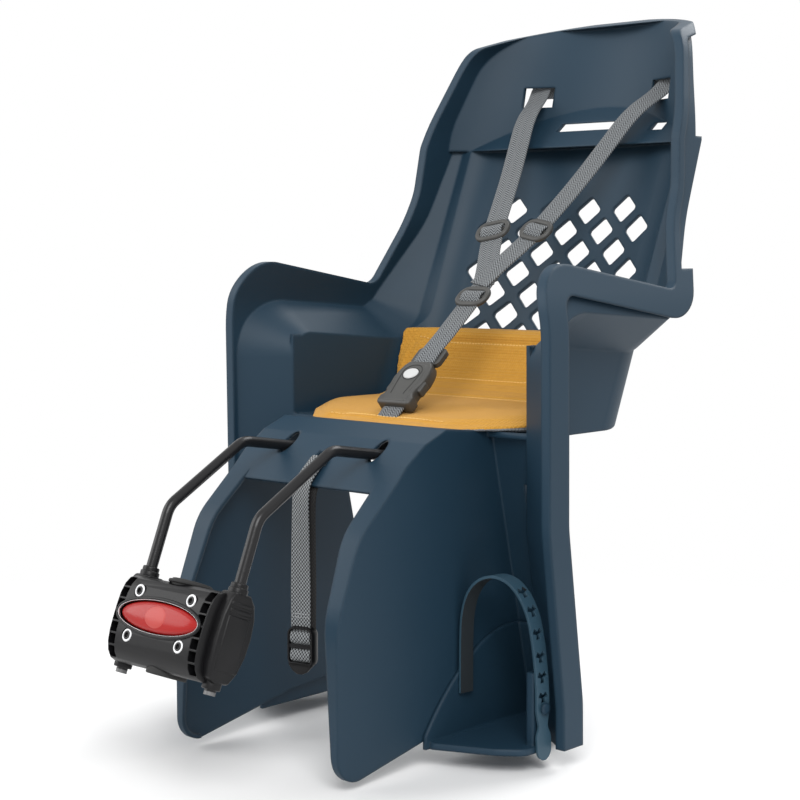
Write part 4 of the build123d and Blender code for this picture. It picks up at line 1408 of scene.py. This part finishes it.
@dataclass
class SeatPad(Piece):
    """Sewn pad over the pan and the lower back. Sizes are in metres."""

    voxel: float = 0.005
    weld: float = 0.00005
    pressure: float = 4.0
    frames: int = 20
    cap: float = 0.006
    soften: int = 6
    front_from: float = 0.33
    front_run: float = 0.07
    front_drop: float = 0.7
    pan_base: float = 0.151
    pan_top: float = 0.19
    back_from: float = 0.178
    back_seam: float = 0.221
    side_seam: float = 0.131
    side_top: float = 0.222
    crease: float = 0.181
    pan_end: float = 0.425
    pan_seam: float = 0.404
    front_seam: float = 0.254
    front_half: float = 0.072
    seam_half: float = 0.0052
    seam_depth: float = 0.0017
    edge_top: float = 0.157
    stitch_pitch: float = 0.0042

    def build(self) -> None:
        """Makes the swollen pad from the CAD solid, then its seams."""
        source = frame["nodes"]["seat_pad"]
        pad = bpy.data.objects.new("seat_pad_soft", source.data.copy())
        bpy.context.scene.collection.objects.link(pad)
        edit_all(pad)
        bpy.ops.mesh.remove_doubles(threshold=self.weld)
        bpy.ops.object.mode_set(mode="OBJECT")
        pad.data.remesh_voxel_size = self.voxel
        bpy.ops.object.voxel_remesh()
        rest = [corner.co.copy() for corner in pad.data.vertices]
        self.swell(pad)
        self.hold(pad, rest)
        finish_with(pad, "SMOOTH", factor=0.5, iterations=self.soften)
        finish_with(pad, "SUBSURF", levels=1, render_levels=1)
        self.sink_seams(pad)
        smooth(pad, 60.0)
        self.dress(pad)
        self.sew(pad)

    def swell(self, pad: Solid) -> None:
        """Runs the cloth with inner pressure and keeps its result."""
        cloth = pad.modifiers.new("swell", "CLOTH")
        cloth.settings.use_pressure = True
        cloth.settings.uniform_pressure_force = self.pressure
        cloth.settings.effector_weights.gravity = 0.0
        scene = bpy.context.scene
        for step in range(1, self.frames + 1):
            scene.frame_set(step)
        bpy.ops.object.modifier_apply(modifier=cloth.name)
        scene.frame_set(1)

    def hold(self, pad: Solid, rest: Sequence[Vector]) -> None:
        """Keeps each point near its start and off the shell, and thins the front of the pan.

        Args:
            pad: The pad's object.
            rest: Where the points started.
        """
        for corner, start in zip(pad.data.vertices, rest):
            shift = corner.co - start
            if shift.length > self.cap:
                shift *= self.cap / shift.length
            shift.z = max(shift.z, 0.0)
            shift.y = min(shift.y, 0.0)
            corner.co = start + shift
            front = min(1.0, max(0.0, (self.front_from - start.y) / self.front_run))
            if start.z < self.pan_top:
                corner.co.z -= max(0.0, start.z - self.pan_base) * self.front_drop * front

    def seam_gap(self, at: Vector) -> float:
        """Gives how far a point lies from the nearest seam."""
        x, y, z = abs(at.x), at.y, at.z
        gaps = [1.0]
        if z > self.pan_top and x < self.side_seam:
            gaps.append(abs(z - self.back_seam))
        if z > self.back_from:
            gaps.append(abs(z - self.crease))
            if z < self.side_top:
                gaps.append(abs(x - self.side_seam))
        elif y < self.pan_end:
            gaps.append(abs(y - self.pan_seam))
            if x < self.front_half:
                gaps.append(abs(y - self.front_seam))
        return min(gaps)

    def sink_seams(self, pad: Solid) -> None:
        """Draws the cloth in along its seams."""
        pushes: List[Tuple[int, Vector]] = []
        for corner in pad.data.vertices:
            out = corner.normal
            if out.z < 0.1 and out.y > -0.2:
                continue
            near = 1.0 - self.seam_gap(corner.co) / self.seam_half
            if near > 0.0:
                pushes.append((corner.index, out * (-self.seam_depth * near)))
        for index, push in pushes:
            pad.data.vertices[index].co += push

    def dress(self, pad: Solid) -> None:
        """Gives the pad its cloth, with a grey edge below."""
        self.put(pad, "seat", "pad", "pad", "seat_pad")
        pad.data.materials.append(self.paint.material("pad_edge"))
        for face in pad.data.polygons:
            low = face.normal.z < -0.35 or (face.center.z < self.edge_top and face.normal.z < 0.25)
            face.material_index = 1 if low else 0

    def sew(self, pad: Solid) -> None:
        """Lays stitches along the seams."""
        lines: List[Tuple[Vector, Vector]] = [
            (mm(-131, 460, 221), mm(131, 460, 221)), (mm(-140, 440, 181), mm(140, 440, 181)),
            (mm(-131, 450, 184), mm(-131, 466, 221)), (mm(131, 450, 184), mm(131, 466, 221)),
            (mm(-138, 404, 168), mm(138, 404, 168)), (mm(-72, 254, 170), mm(72, 254, 170))]
        spots: List[Matrix] = []
        for start, end in lines:
            count = int((end - start).length / self.stitch_pitch)
            for step in range(count):
                found, at, out, _ = pad.closest_point_on_mesh(start.lerp(end, (step + 0.5) / count))
                if found:
                    spots.append(lie(at + out * 0.0001, end - start, out))
        threads = strew("seat_pad_stitches", 3.8 * MM, 0.7 * MM, spots)
        self.put(threads, "seat", "pad_thread", "pad")


def main() -> None:
    """Builds and dresses every sub-assembly."""
    paint = Paint()
    Studio().build()
    PlainNodes(paint).dress()
    Harness(paint).build()
    FrameStrap(paint).build()
    for side, name in ((1, "left"), (-1, "right")):
        FootStrap(paint).build(side, name)
    Block(paint).build()
    SeatPad(paint).build()


if __name__ == "__main__":
    main()
